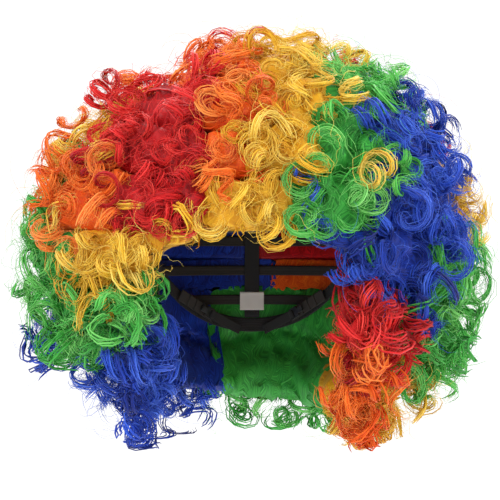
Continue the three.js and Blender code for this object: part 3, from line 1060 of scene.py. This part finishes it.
@dataclass(frozen=True)
class ClothFinish:
    """A textile on the piece's own UV, in metres, with sewing thread where the tone is 1, and painted shade
    in the gap colour between its threads.
    """

    slot: str
    weave: Weave
    thread: tuple[float, float, float]
    # The colour of the low parts between threads, which is painted shade.
    gap: tuple[float, float, float]
    seam: tuple[float, float, float]
    pitch: float = 0.0012
    roughness: float = 0.75
    sheen: float = 0.25

    def height(self, desk: Desk) -> bpy.types.NodeSocket:
        """The threads' height, from 0 to 1: wales and courses, cells of a net, or fine warp."""
        if self.weave is Weave.NETTED:
            cells = desk.tree.nodes.new("ShaderNodeTexVoronoi")
            cells.feature = "DISTANCE_TO_EDGE"
            cells.inputs["Scale"].default_value = 1.0 / self.pitch
            cells.inputs["Randomness"].default_value = 0.25
            desk.tree.links.new(desk.uv((1.0, 1.0, 1.0)), cells.inputs["Vector"])
            return desk.math("SUBTRACT", 1.0, desk.math("MULTIPLY", cells.outputs["Distance"], 3.4))
        if self.weave is Weave.SATIN:
            return desk.noise(desk.uv((1.0 / self.pitch, 0.12 / self.pitch, 1.0)), 1.0, 2.0)
        split = desk.tree.nodes.new("ShaderNodeSeparateXYZ")
        turn = 2.0 * math.pi / self.pitch
        desk.tree.links.new(desk.uv((turn, turn, 1.0)), split.inputs[0])
        wale = desk.math("ABSOLUTE", desk.math("SINE", desk.math("MULTIPLY", split.outputs[0], 0.5)))
        slant = desk.math("MULTIPLY", split.outputs[0], 0.5)
        course = desk.math("SINE", desk.math("ADD", split.outputs[1], slant))
        return desk.math("MULTIPLY", wale, desk.math("MULTIPLY_ADD", course, 0.25, 0.75))

    def material(self) -> bpy.types.Material:
        """The node material."""
        desk = Desk(self.slot)
        height = self.height(desk)
        worn = desk.noise(desk.uv((60.0, 60.0, 1.0)), 1.0, 3.0)
        level = desk.math("MULTIPLY_ADD", worn, 0.35, desk.math("MULTIPLY_ADD", height, 0.55, -0.1))
        cloth = desk.math("MULTIPLY", level, 0.8)
        total = desk.math("MAXIMUM", cloth, desk.tone())
        # The colour follows the threads' height, so the low parts between them take the gap colour as
        # painted shade; the worn noise is random tone.
        colour = desk.ramp(total, (0.0, self.gap), (1.0, self.seam), (0.8, self.thread))
        desk.join(colour, desk.shader.inputs["Base Color"])
        desk.shader.inputs["Roughness"].default_value = self.roughness
        desk.shader.inputs["Sheen Weight"].default_value = self.sheen
        desk.shader.inputs["Specular IOR Level"].default_value = 0.3
        desk.bump(height, 0.12 * self.pitch)
        return desk.made


class Cloth(Enum):
    """The cap's textiles."""

    LACE = ClothFinish(
        "lace", Weave.NETTED, (0.105, 0.090, 0.082), (0.008, 0.007, 0.006), (0.20, 0.18, 0.17), 0.0017
    )
    NET = ClothFinish(
        "net", Weave.RIBBED, (0.075, 0.064, 0.058), (0.022, 0.018, 0.016), (0.15, 0.13, 0.12), 0.0006
    )
    ELASTIC = ClothFinish(
        "elastic", Weave.RIBBED, (0.060, 0.055, 0.055), (0.005, 0.004, 0.004), (0.20, 0.19, 0.19), 0.0011
    )
    TAPE = ClothFinish(
        "weft_tape", Weave.RIBBED, (0.080, 0.070, 0.064), (0.008, 0.007, 0.006), (0.22, 0.20, 0.19), 0.0008
    )
    LABEL = ClothFinish(
        "label",
        Weave.SATIN,
        (0.90, 0.88, 0.83),
        (0.66, 0.63, 0.58),
        (0.30, 0.29, 0.28),
        pitch=0.00035,
        roughness=0.38,
        sheen=0.05,
    )


@dataclass(frozen=True)
class HookFinish:
    """Moulded nylon: near black, with a faint grain and rubbed patches."""

    slot: str = "hook_plastic"
    deep: tuple[float, float, float] = (0.010, 0.010, 0.012)
    rubbed: tuple[float, float, float] = (0.055, 0.055, 0.060)

    def material(self) -> bpy.types.Material:
        """The node material, on Object coordinates."""
        desk = Desk(self.slot)
        place = desk.tree.nodes.new("ShaderNodeTexCoord").outputs["Object"]
        patches = desk.noise(place, 220.0, 4.0)
        grain = desk.noise(place, 2600.0, 2.0)
        colour = desk.ramp(patches, (0.35, self.deep), (0.8, self.rubbed))
        desk.join(colour, desk.shader.inputs["Base Color"])
        desk.join(desk.math("MULTIPLY_ADD", patches, 0.3, 0.28), desk.shader.inputs["Roughness"])
        desk.bump(grain, 0.00005)
        return desk.made


def hang(data: MeshData, name: str, cloth: Cloth, *nodes: str) -> bpy.types.Object:
    """Makes a cloth piece that rides on the cap.

    Args:
        data: its mesh.
        name: its name.
        cloth: its textile.
        nodes: the CAD nodes it stands for.

    Returns:
        The piece.
    """
    material = bpy.data.materials.get(cloth.value.slot) or cloth.value.material()
    piece = data.to_object(name, material)
    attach(piece, "cap")
    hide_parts(*nodes)
    LOG.info("%s: %d faces", name, len(data.sizes))
    return piece


@dataclass
class Bands:
    """The lace front band, the elastic nape band and the two lace ear tabs."""

    shape: CapShape
    columns: int = 33
    rows: int = 120
    rib: float = 0.00010
    tab_tip: float = -0.040

    def band(self, first: float, last: float) -> MeshData:
        """A band along the cap's edge from one azimuth to another, with two rows of stitches."""
        turn = np.linspace(first, last, self.rows)
        rise = np.linspace(0.0, self.shape.band_height, self.columns)
        turns = np.repeat(turn[:, None], self.columns, axis=1)
        heights = self.shape.edge_height(turns, rise[None, :])
        cloth = self.shape.strip(turns, heights, 0.0, self.shape.thickness, self.rib)
        seams = []
        for share in (0.14, 0.86):
            height = self.shape.edge_height(turn, share * self.shape.band_height)
            seams.append(self.shape.stitches(turn, height, 0.0, 0.0032, 0.00022))
        return MeshData.join([cloth, *seams])

    def tab(self) -> MeshData:
        """The left ear tab: it narrows downwards to a rounded tip, with a stitched hem."""
        share = np.linspace(-1.0, 1.0, 33)[None, :]
        drop = np.linspace(1.0, 0.0, 28)[:, None]
        front = -0.048 + 0.010 * drop
        back = -0.014 - 0.006 * drop
        y = (front + back) / 2.0 + (back - front) / 2.0 * share
        top = self.shape.front_edge(y) - self.shape.gap
        tip = self.tab_tip + 0.009 * np.abs(share) ** 3
        z = top + (tip - top) * drop
        turn = self.shape.turn_at(y, z)
        cloth = self.shape.strip(turn.T, z.T, 0.0, self.shape.thickness, 0.0)
        hem_turn = np.concatenate([turn[::-1, 2], turn[2, 2:-2], turn[:, -3]])
        hem_z = np.concatenate([z[::-1, 2], z[2, 2:-2], z[:, -3]])
        return MeshData.join([cloth, self.shape.stitches(hem_turn, hem_z, 0.0, 0.0028, 0.0002)])

    def build(self) -> None:
        """Makes the bands and the tabs."""
        shape = self.shape
        split = float(shape.turn_at(shape.ear_y, shape.ear_z))
        slack = 0.002
        hang(self.band(-split + slack, split - slack), "front_band_lace", Cloth.LACE, "front_band")
        nape = self.band(split + slack, 2.0 * np.pi - split - slack)
        hang(nape, "nape_band_elastic", Cloth.ELASTIC, "nape_band")
        tab = self.tab()
        hang(tab, "ear_tab_left_lace", Cloth.LACE, "ear_tab_left")
        hang(tab.mirrored(), "ear_tab_right_lace", Cloth.LACE, "ear_tab_right")


@dataclass
class CrownNet:
    """The open net over the crown: two families of slanting threads, held by a bound rim."""

    shape: CapShape
    mesh_size: float = 0.0046
    thread: float = 0.00028
    rim: float = 0.0045

    def threads(self, slant: float) -> MeshData:
        """One family of threads, each over and under the other family.

        A thread keeps a fixed distance from the middle in plan. Its height is the dome's, and its
        offset swings with each crossing.

        Args:
            slant: 1 or -1, the side to which the threads lean.

        Returns:
            The threads.
        """
        half_x = float(self.shape.radius(np.array(self.shape.net_edge))) - 0.0008
        half_y = half_x * self.shape.stretch
        lean = unit(np.array([1.0, slant]))
        normal = np.array([-lean[1], lean[0]])
        reach = float(np.hypot(half_x * normal[0], half_y * normal[1]))
        places = np.arange(-reach + self.mesh_size / 2.0, reach, self.mesh_size)
        a = (lean[0] / half_x) ** 2 + (lean[1] / half_y) ** 2
        b = places * (normal[0] * lean[0] / half_x**2 + normal[1] * lean[1] / half_y**2)
        c = places**2 * ((normal[0] / half_x) ** 2 + (normal[1] / half_y) ** 2) - 1.0
        spread = np.sqrt(np.maximum(b**2 - a * c, 0.0)) / a
        t = np.linspace(-1.0, 1.0, 49)[None, :]
        along = -b[:, None] / a + spread[:, None] * t
        x = along * lean[0] + places[:, None] * normal[0]
        y = along * lean[1] + places[:, None] * normal[1]
        z = HEAD_TOP * np.sqrt(1.0 - (x / HEAD_HALF[0]) ** 2 - (y / HEAD_HALF[1]) ** 2)
        parity = np.where(np.arange(len(places)) % 2 == 0, 1.0, -1.0)[:, None]
        weave = slant * parity * np.cos(np.pi * along / self.mesh_size) * self.thread
        turn = np.arctan2(x, -y / self.shape.stretch)
        paths = self.shape.point(turn, z, self.shape.thickness / 2.0 + weave)
        size = np.full(paths.shape[:2], self.thread)
        across = np.broadcast_to(np.array([*normal, 0.0]), paths.shape)
        return swept(paths, across, size, size, 4, np.full(paths.shape[:2], 0.62))

    def build(self) -> None:
        """Makes the net."""
        turn = np.linspace(0.0, 2.0 * np.pi, 121)[:-1]
        rise = np.linspace(0.0, self.rim, 13)
        turns = np.repeat(turn[:, None], len(rise), axis=1)
        z = np.broadcast_to(self.shape.net_edge + rise[None, :], turns.shape)
        rim = self.shape.strip(turns, z, 0.0, self.shape.thickness, 0.00008, ring=True)
        line = np.append(turn, 2.0 * np.pi)
        height = np.full_like(line, self.shape.net_edge + self.rim / 2.0)
        seam = self.shape.stitches(line, height, 0.0, 0.003, 0.0002)
        net = MeshData.join([self.threads(1.0), self.threads(-1.0), rim, seam])
        hang(net, "crown_net_threads", Cloth.NET, "crown_net")


@dataclass
class Ribs:
    """The four elastic straps that run from the bands up to the net."""

    shape: CapShape
    half_width: float = 0.006
    columns: int = 33
    rows: int = 60

    def rib(self, middle: float, half_length: float) -> MeshData:
        """One strap on the cap at an azimuth.

        Args:
            middle: the azimuth of its middle line.
            half_length: the head's half size across the strap's direction at the headband.

        Returns:
            The strap, whose azimuth at a share of its half width is the middle plus the arc sine of
            that width against the head's half size at the same height.
        """
        share = np.linspace(-1.0, 1.0, self.columns)[None, :]
        t = np.linspace(0.0, 1.0, self.rows)[:, None]
        slack = 2.0 * self.shape.gap
        foot = self.shape.edge_height(
            middle + np.arcsin(share * self.half_width / half_length), self.shape.band_height + slack
        )
        z = foot + (self.shape.net_edge - slack - foot) * t
        size = self.shape.radius(z) * half_length / HEAD_HALF[0]
        turn = middle + np.arcsin(share * self.half_width / size)
        strap = self.shape.strip(turn.T, z.T, 0.0, self.shape.thickness, 0.0)
        seams = []
        for place in (0.03, 0.97):
            row = int(round(place * (self.rows - 1)))
            seams.append(self.shape.stitches(turn[row], z[row], 0.0, 0.0024, 0.0002))
        across = strap.uvs[:, ::-1].copy()
        turned = MeshData(strap.points, strap.corners, strap.sizes, across, strap.tones)
        return MeshData.join([turned, *seams])

    def build(self) -> None:
        """Makes the four straps."""
        half_x, half_y = HEAD_HALF
        for name, middle, size in (
            ("front", 0.0, half_x),
            ("left", np.pi / 2.0, half_y),
            ("back", np.pi, half_x),
            ("right", 1.5 * np.pi, half_y),
        ):
            hang(self.rib(middle, size), f"rib_{name}_elastic", Cloth.ELASTIC, f"rib_{name}")


@dataclass
class WeftTapes:
    """The six tapes to which the rows of hair are sewn, from the crown down."""

    shape: CapShape
    heights: tuple[float, ...] = (0.072, 0.052, 0.026, 0.004, -0.020, -0.044)
    starts: tuple[float, ...] = (-1.0, -1.0, -1.0, -0.041, 0.031, 0.062)
    half_height: float = 0.004
    seam_height: float = 0.0026
    inner: float = 0.0015
    outer: float = 0.0027

    def tape(self, height: float, start: float) -> MeshData:
        """One tape: a whole ring, or an arc behind its start, with two rows of stitches inside."""
        ring = start <= -1.0
        z = np.linspace(height - self.half_height, height + self.half_height, 13)
        first = 0.0 if ring else float(self.shape.turn_at(start, height)) + 0.002
        turn = np.linspace(first, 2.0 * np.pi - first, 109)
        line = turn
        if ring:
            turn = turn[:-1]
        turns, heights = np.meshgrid(turn, z, indexing="ij")
        cloth = self.shape.strip(turns, heights, self.inner, self.outer, 0.00008, ring)
        seams = []
        for side in (-1.0, 1.0):
            level = np.full_like(line, height + side * self.seam_height)
            seams.append(self.shape.stitches(line, level, self.inner - 0.0001, 0.003, 0.0002))
        return MeshData.join([cloth, *seams])

    def build(self) -> None:
        """Makes the six tapes."""
        for i, (height, start) in enumerate(zip(self.heights, self.starts), 1):
            hang(self.tape(height, start), f"weft_tape_{i}_woven", Cloth.TAPE, f"weft_tape_{i}")


@dataclass
class CareLabel:
    """A blank satin label sewn inside the nape, with a folded head."""

    shape: CapShape
    half_width: float = 0.010
    low: float = -0.053
    high: float = -0.038
    thickness: float = 0.0005

    def build(self) -> None:
        """Makes the label: its free end curls a little towards the head."""
        x = np.linspace(-self.half_width, self.half_width, 25)[:, None]
        t = np.linspace(0.0, 1.0, 22)[None, :]
        z = self.low + (self.high - self.low) * np.broadcast_to(t, (x.size, t.size))
        turn = np.pi - np.arcsin(x / self.shape.radius(z))
        ripple = 0.00012 * np.sin(x * 620.0 + t * 3.0) * (1.0 - t)
        middle = -self.shape.gap - self.thickness / 2.0 - 0.0003 * (1.0 - t) ** 2 + ripple
        half = self.thickness / 2.0 * (0.55 + 0.45 * smooth_step(t, 0.80, 0.84)) * rounded(2.0 * t - 1.0)
        uv = np.stack([np.broadcast_to(x, z.shape), z], -1)
        outer = self.shape.point(turn, z, middle + half)[::-1]
        inner = self.shape.point(turn, z, middle - half)[::-1]
        sheet = closed_sheet(outer, inner, uv[::-1])
        line = np.linspace(-0.0085, 0.0085, 20)
        height = np.full_like(line, self.high - 0.0012)
        turns = np.pi - np.arcsin(line / self.shape.radius(height))
        face = -self.shape.gap - self.thickness
        seam = self.shape.stitches(turns, height, face, 0.0022, 0.00018)
        hang(MeshData.join([sheet, seam]), "care_label_satin", Cloth.LABEL, "care_label")


@dataclass
class Adjuster:
    """One size adjuster: a tape of loops, a hook, and the elastic strap that pulls it."""

    shape: CapShape
    near_x: float = 0.030
    far_x: float = 0.062
    anchor_x: float = 0.009
    loops: tuple[float, ...] = (-0.014, -0.006, 0.002, 0.010)
    tape_half: tuple[float, float] = (0.020, 0.005)
    tape_low: float = 0.0014
    tape_high: float = 0.0024
    hook_low: float = 0.0035
    hook_high: float = 0.0049
    hook_rear: float = -0.017
    slot_rear: float = -0.0154
    slot_front: float = -0.0130
    strap_half: float = 0.004
    strap_thick: float = 0.0009
    strap_rib: float = 0.00007
    loop_half: tuple[float, float] = (0.0008, 0.00028)
    loop_reach: float = 0.0038

    def band_point(self, x: float) -> np.ndarray:
        """The nape band's middle line, inside the cap, at a distance from the middle."""
        y = float(HEAD_HALF[1])
        z = 0.0
        for _ in range(40):
            z = float(self.shape.nape_edge(np.array(y))) + self.shape.band_height / 2.0
            radius = float(self.shape.radius(np.array(z)))
            y = (y + self.shape.stretch * math.sqrt(radius**2 - x**2)) / 2.0
        return np.array([x, y, z])

    def __post_init__(self) -> None:
        """Works out the frame: u along the band to the ear, w into the head, v square to both."""
        near, far = self.band_point(self.near_x), self.band_point(self.far_x)
        self.middle = (near + far) / 2.0
        self.u = unit(far - near)
        inward = np.array([-self.middle[0], -self.middle[1] / self.shape.stretch, 0.0])
        self.w = unit(inward - inward @ self.u * self.u)
        self.v = np.cross(self.w, self.u)

    def place(self, u: np.ndarray, v: np.ndarray, w: np.ndarray) -> np.ndarray:
        """Points of the adjuster's frame in the cap's."""
        u, v, w = np.broadcast_arrays(u, v, w)
        return self.middle + u[..., None] * self.u + v[..., None] * self.v + w[..., None] * self.w

    def ties(self, paths: np.ndarray, across: np.ndarray, thick: float) -> MeshData:
        """Stitches along paths, as round threads.

        Args:
            paths: (stitches, steps, 3) middle lines.
            across: a direction across them.
            thick: half thickness of the thread.

        Returns:
            The stitches, with a tone of 1.
        """
        size = np.full(paths.shape[:2], thick)
        return swept(paths, np.broadcast_to(across, paths.shape), size, size, 4, np.ones(paths.shape[:2]))

    def loop_tape(self) -> MeshData:
        """The tape with its four arched loops, each sewn down at both ends."""
        half_u, half_v = self.tape_half
        u = np.linspace(-half_u, half_u, 61)[:, None]
        v = np.linspace(-half_v, half_v, 17)[None, :]
        middle, half = (self.tape_low + self.tape_high) / 2.0, (self.tape_high - self.tape_low) / 2.0
        swell = half * rounded(v / half_v) * rounded(u / half_u, 30.0)
        uv = np.stack(np.broadcast_arrays(v, u), -1)
        tape = closed_sheet(self.place(u, v, middle + swell), self.place(u, v, middle - swell), uv)
        turn = np.linspace(0.0, np.pi, 13)[None, :]
        start = np.array(self.loops)[:, None]
        rise = self.tape_high - 0.0002 + 0.0006 * np.sin(turn) ** 0.5
        arch = self.place(start, -self.loop_reach * np.cos(turn), rise)
        size = np.ones(arch.shape[:2])
        wide, deep = (half * size for half in self.loop_half)
        bars = swept(arch, np.broadcast_to(self.u, arch.shape), wide, deep, 8, 0.66 * size)
        ties = []
        for side in (-1.0, 1.0):
            for step in (-0.00045, 0.0, 0.00045):
                t = np.linspace(-1.0, 1.0, 5)[None, :]
                lift = self.tape_high + 0.0006 - 0.0005 * t**2
                tie = self.place(start + 0.0013 * t, side * 0.0041 + step, lift)
                ties.append(self.ties(tie, self.v, 0.00017))
        return MeshData.join([tape, bars, *ties])

    def strap(self) -> MeshData:
        """The elastic strap: from its stitching along the band, over the hook's rear bar into its slot."""
        anchor = self.band_point(self.anchor_x) - self.middle
        u0, w0 = float(anchor @ self.u), float(anchor @ self.w) + 0.0012 + self.strap_thick / 2.0
        u1, w1 = self.hook_rear - 0.0016, self.hook_low + 0.0002 + self.strap_thick / 2.0
        t = np.linspace(0.0, 1.0, 40)
        run = np.stack([u0 + (u1 - u0) * t, w0 + (w1 - w0) * t - 0.0032 * t * (1.0 - t)], -1)
        bar = (self.hook_rear + self.slot_rear) / 2.0
        over = self.hook_high + 0.0002 + self.strap_thick / 2.0
        slot = (self.slot_rear + self.slot_front) / 2.0
        knots = np.array(
            [
                [u1 + 0.0006, w1 + 0.0003],
                [self.hook_rear - 0.0005, over - 0.0004],
                [bar, over + 0.0001],
                [slot - 0.0004, over - 0.0003],
                [slot, self.hook_high - 0.0003],
                [slot, self.hook_low + 0.0003],
            ]
        )
        s = np.linspace(0.0, len(knots) - 1.0, 22)
        turned = np.stack([np.interp(s, np.arange(len(knots)), knots[:, k]) for k in (0, 1)], -1)
        line = np.concatenate([run, turned])
        smooth = line.copy()
        for _ in range(3):
            smooth[1:-1] = (smooth[:-2] + 2.0 * smooth[1:-1] + smooth[2:]) / 4.0
        along = unit(np.gradient(smooth, axis=0))
        normal = np.stack([-along[:, 1], along[:, 0]], -1)
        length = np.concatenate([[0.0], np.cumsum(np.linalg.norm(np.diff(smooth, axis=0), axis=-1))])
        share = np.linspace(-1.0, 1.0, 25)
        narrow = self.strap_half - 0.0009 * smooth_step(smooth[:, 0], u1 - 0.002, bar)
        ribs = self.strap_rib * np.cos(np.pi * np.arange(share.size) / 2.0)
        half = (self.strap_thick / 2.0 - self.strap_rib) * rounded(share) + ribs
        v = narrow[:, None] * share[None, :]
        faces = []
        for side in (1.0, -1.0):
            u = smooth[:, None, 0] + side * normal[:, None, 0] * half[None, :]
            w = smooth[:, None, 1] + side * normal[:, None, 1] * half[None, :]
            faces.append(self.place(u, v, w))
        uv = np.stack([v, np.broadcast_to(length[:, None], v.shape)], -1)
        sheet = closed_sheet(faces[0], faces[1], uv)
        t = np.linspace(-1.0, 1.0, 5)[None, :]
        row = np.linspace(-0.0032, 0.0032, 6)[:, None]
        ties = []
        for step in (0.0012, 0.0040):
            lift = w0 + self.strap_thick / 2.0 + 0.0002 - 0.0003 * t**2
            tie = self.place(u0 + step + 0.0 * t * row, row + 0.0005 * t, lift)
            ties.append(self.ties(tie, self.u, 0.00018))
        return MeshData.join([sheet, *ties])

    def hook(self, node: str, material: bpy.types.Material) -> bpy.types.Object:
        """The moulded hook: the CAD hook's own shape with rounded edges.

        Args:
            node: the CAD hook.
            material: its plastic.

        Returns:
            The piece, not yet riding on a body.
        """
        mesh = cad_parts[node].data.copy()
        mesh.transform(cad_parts[node].matrix_world)
        welded = bmesh.new()
        welded.from_mesh(mesh)
        bmesh.ops.remove_doubles(welded, verts=welded.verts[:], dist=1e-6)
        flat = math.radians(2.0)
        bmesh.ops.dissolve_limit(welded, angle_limit=flat, verts=welded.verts[:], edges=welded.edges[:])
        welded.to_mesh(mesh)
        welded.free()
        piece = bpy.data.objects.new(node + "_moulded", mesh)
        bpy.context.scene.collection.objects.link(piece)
        mesh.materials.clear()
        mesh.materials.append(material)
        bevel = piece.modifiers.new("round", "BEVEL")
        bevel.width = 0.00030
        bevel.segments = 3
        bevel.limit_method = "ANGLE"
        mesh.polygons.foreach_set("use_smooth", np.ones(len(mesh.polygons), dtype=bool))
        shade = piece.modifiers.new("shade", "WEIGHTED_NORMAL")
        shade.keep_sharp = False
        return piece

    def build(self) -> None:
        """Makes both adjusters, the right one mirrored."""
        plastic = HookFinish().material()
        tape, strap = self.loop_tape(), self.strap()
        elastic = bpy.data.materials[Cloth.ELASTIC.value.slot]
        anchor = self.band_point(self.anchor_x)
        end = self.place(np.array(self.hook_rear - 0.003), np.array(0.0), np.array(self.hook_low))
        for side, sign in (("left", 1.0), ("right", -1.0)):
            own_tape, own_strap = (tape, strap) if side == "left" else (tape.mirrored(), strap.mirrored())
            hang(own_tape, f"adjuster_loops_{side}_woven", Cloth.TAPE, f"adjuster_loops_{side}")
            band = own_strap.to_object(f"adjuster_strap_{side}_elastic", elastic)
            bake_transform(band)
            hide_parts(f"adjuster_strap_{side}")
            hook = self.hook(f"adjuster_hook_{side}", plastic)
            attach(hook, f"hook_{side}")
            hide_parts(f"adjuster_hook_{side}")
            LOG.info("adjuster %s: tape, strap and hook", side)


# ---- studio -----------------------------------------------------------------------------------------


@dataclass
class Studio:
    """A white room: floor, soft lamps and the camera straight in front at eye level."""

    floor_height: float = -1.3
    floor_half: float = 1.4
    lens: float = 135.0
    distance: float = 1.4625
    aim: tuple[float, float, float] = (-0.0016, 0.0, -0.0031)

    def build(self) -> None:
        """Makes the world, the floor, the lamps and the camera."""
        scene = bpy.context.scene
        scene.view_settings.view_transform = "Standard"
        world = bpy.data.worlds.new("studio")
        scene.world = world
        world.use_nodes = True
        sky = world.node_tree.nodes["Background"].inputs
        sky["Color"].default_value = (1.0, 1.0, 1.0, 1.0)
        sky["Strength"].default_value = 1.12
        self.floor()
        self.lamp("key", (-1.0, -1.6, 1.5), 1.2, 22.0)
        self.lamp("fill", (1.5, -1.2, 0.5), 1.4, 10.0)
        self.lamp("back", (0.3, 1.6, 1.3), 1.4, 26.0)
        camera = bpy.data.cameras.new("camera")
        camera.lens = self.lens
        camera.sensor_width = 36.0
        holder = bpy.data.objects.new("camera", camera)
        holder.location = (self.aim[0], -self.distance, self.aim[2])
        holder.rotation_euler = (math.pi / 2.0, 0.0, 0.0)
        scene.collection.objects.link(holder)
        scene.camera = holder

    def floor(self) -> None:
        """A plain pale floor well below the wig."""
        half, z = self.floor_half, self.floor_height
        mesh = bpy.data.meshes.new("floor")
        corners = [(-half, -half, z), (half, -half, z), (half, half, z), (-half, half, z)]
        mesh.from_pydata(corners, [], [(0, 1, 2, 3)])
        made = bpy.data.objects.new("floor", mesh)
        bpy.context.scene.collection.objects.link(made)
        paint = bpy.data.materials.new("floor_white")
        paint.use_nodes = True
        sockets = paint.node_tree.nodes["Principled BSDF"].inputs
        sockets["Base Color"].default_value = (0.97, 0.97, 0.97, 1.0)
        sockets["Roughness"].default_value = 0.9
        mesh.materials.append(paint)

    def lamp(self, name: str, place: tuple[float, float, float], size: float, power: float) -> None:
        """A square soft lamp that faces the wig."""
        light = bpy.data.lights.new(name, "AREA")
        light.size = size
        light.energy = power
        made = bpy.data.objects.new(name, light)
        made.location = place
        made.rotation_euler = (-Vector(place)).to_track_quat("-Z", "Y").to_euler()
        bpy.context.scene.collection.objects.link(made)


def main() -> None:
    """Builds the wig and its studio."""
    logging.basicConfig(level=logging.INFO, format="%(message)s")
    Studio().build()
    shape = CapShape()
    Bands(shape).build()
    CrownNet(shape).build()
    Ribs(shape).build()
    WeftTapes(shape).build()
    CareLabel(shape).build()
    Adjuster(shape).build()
    HairCoat().build()


if __name__ == "__main__":
    main()
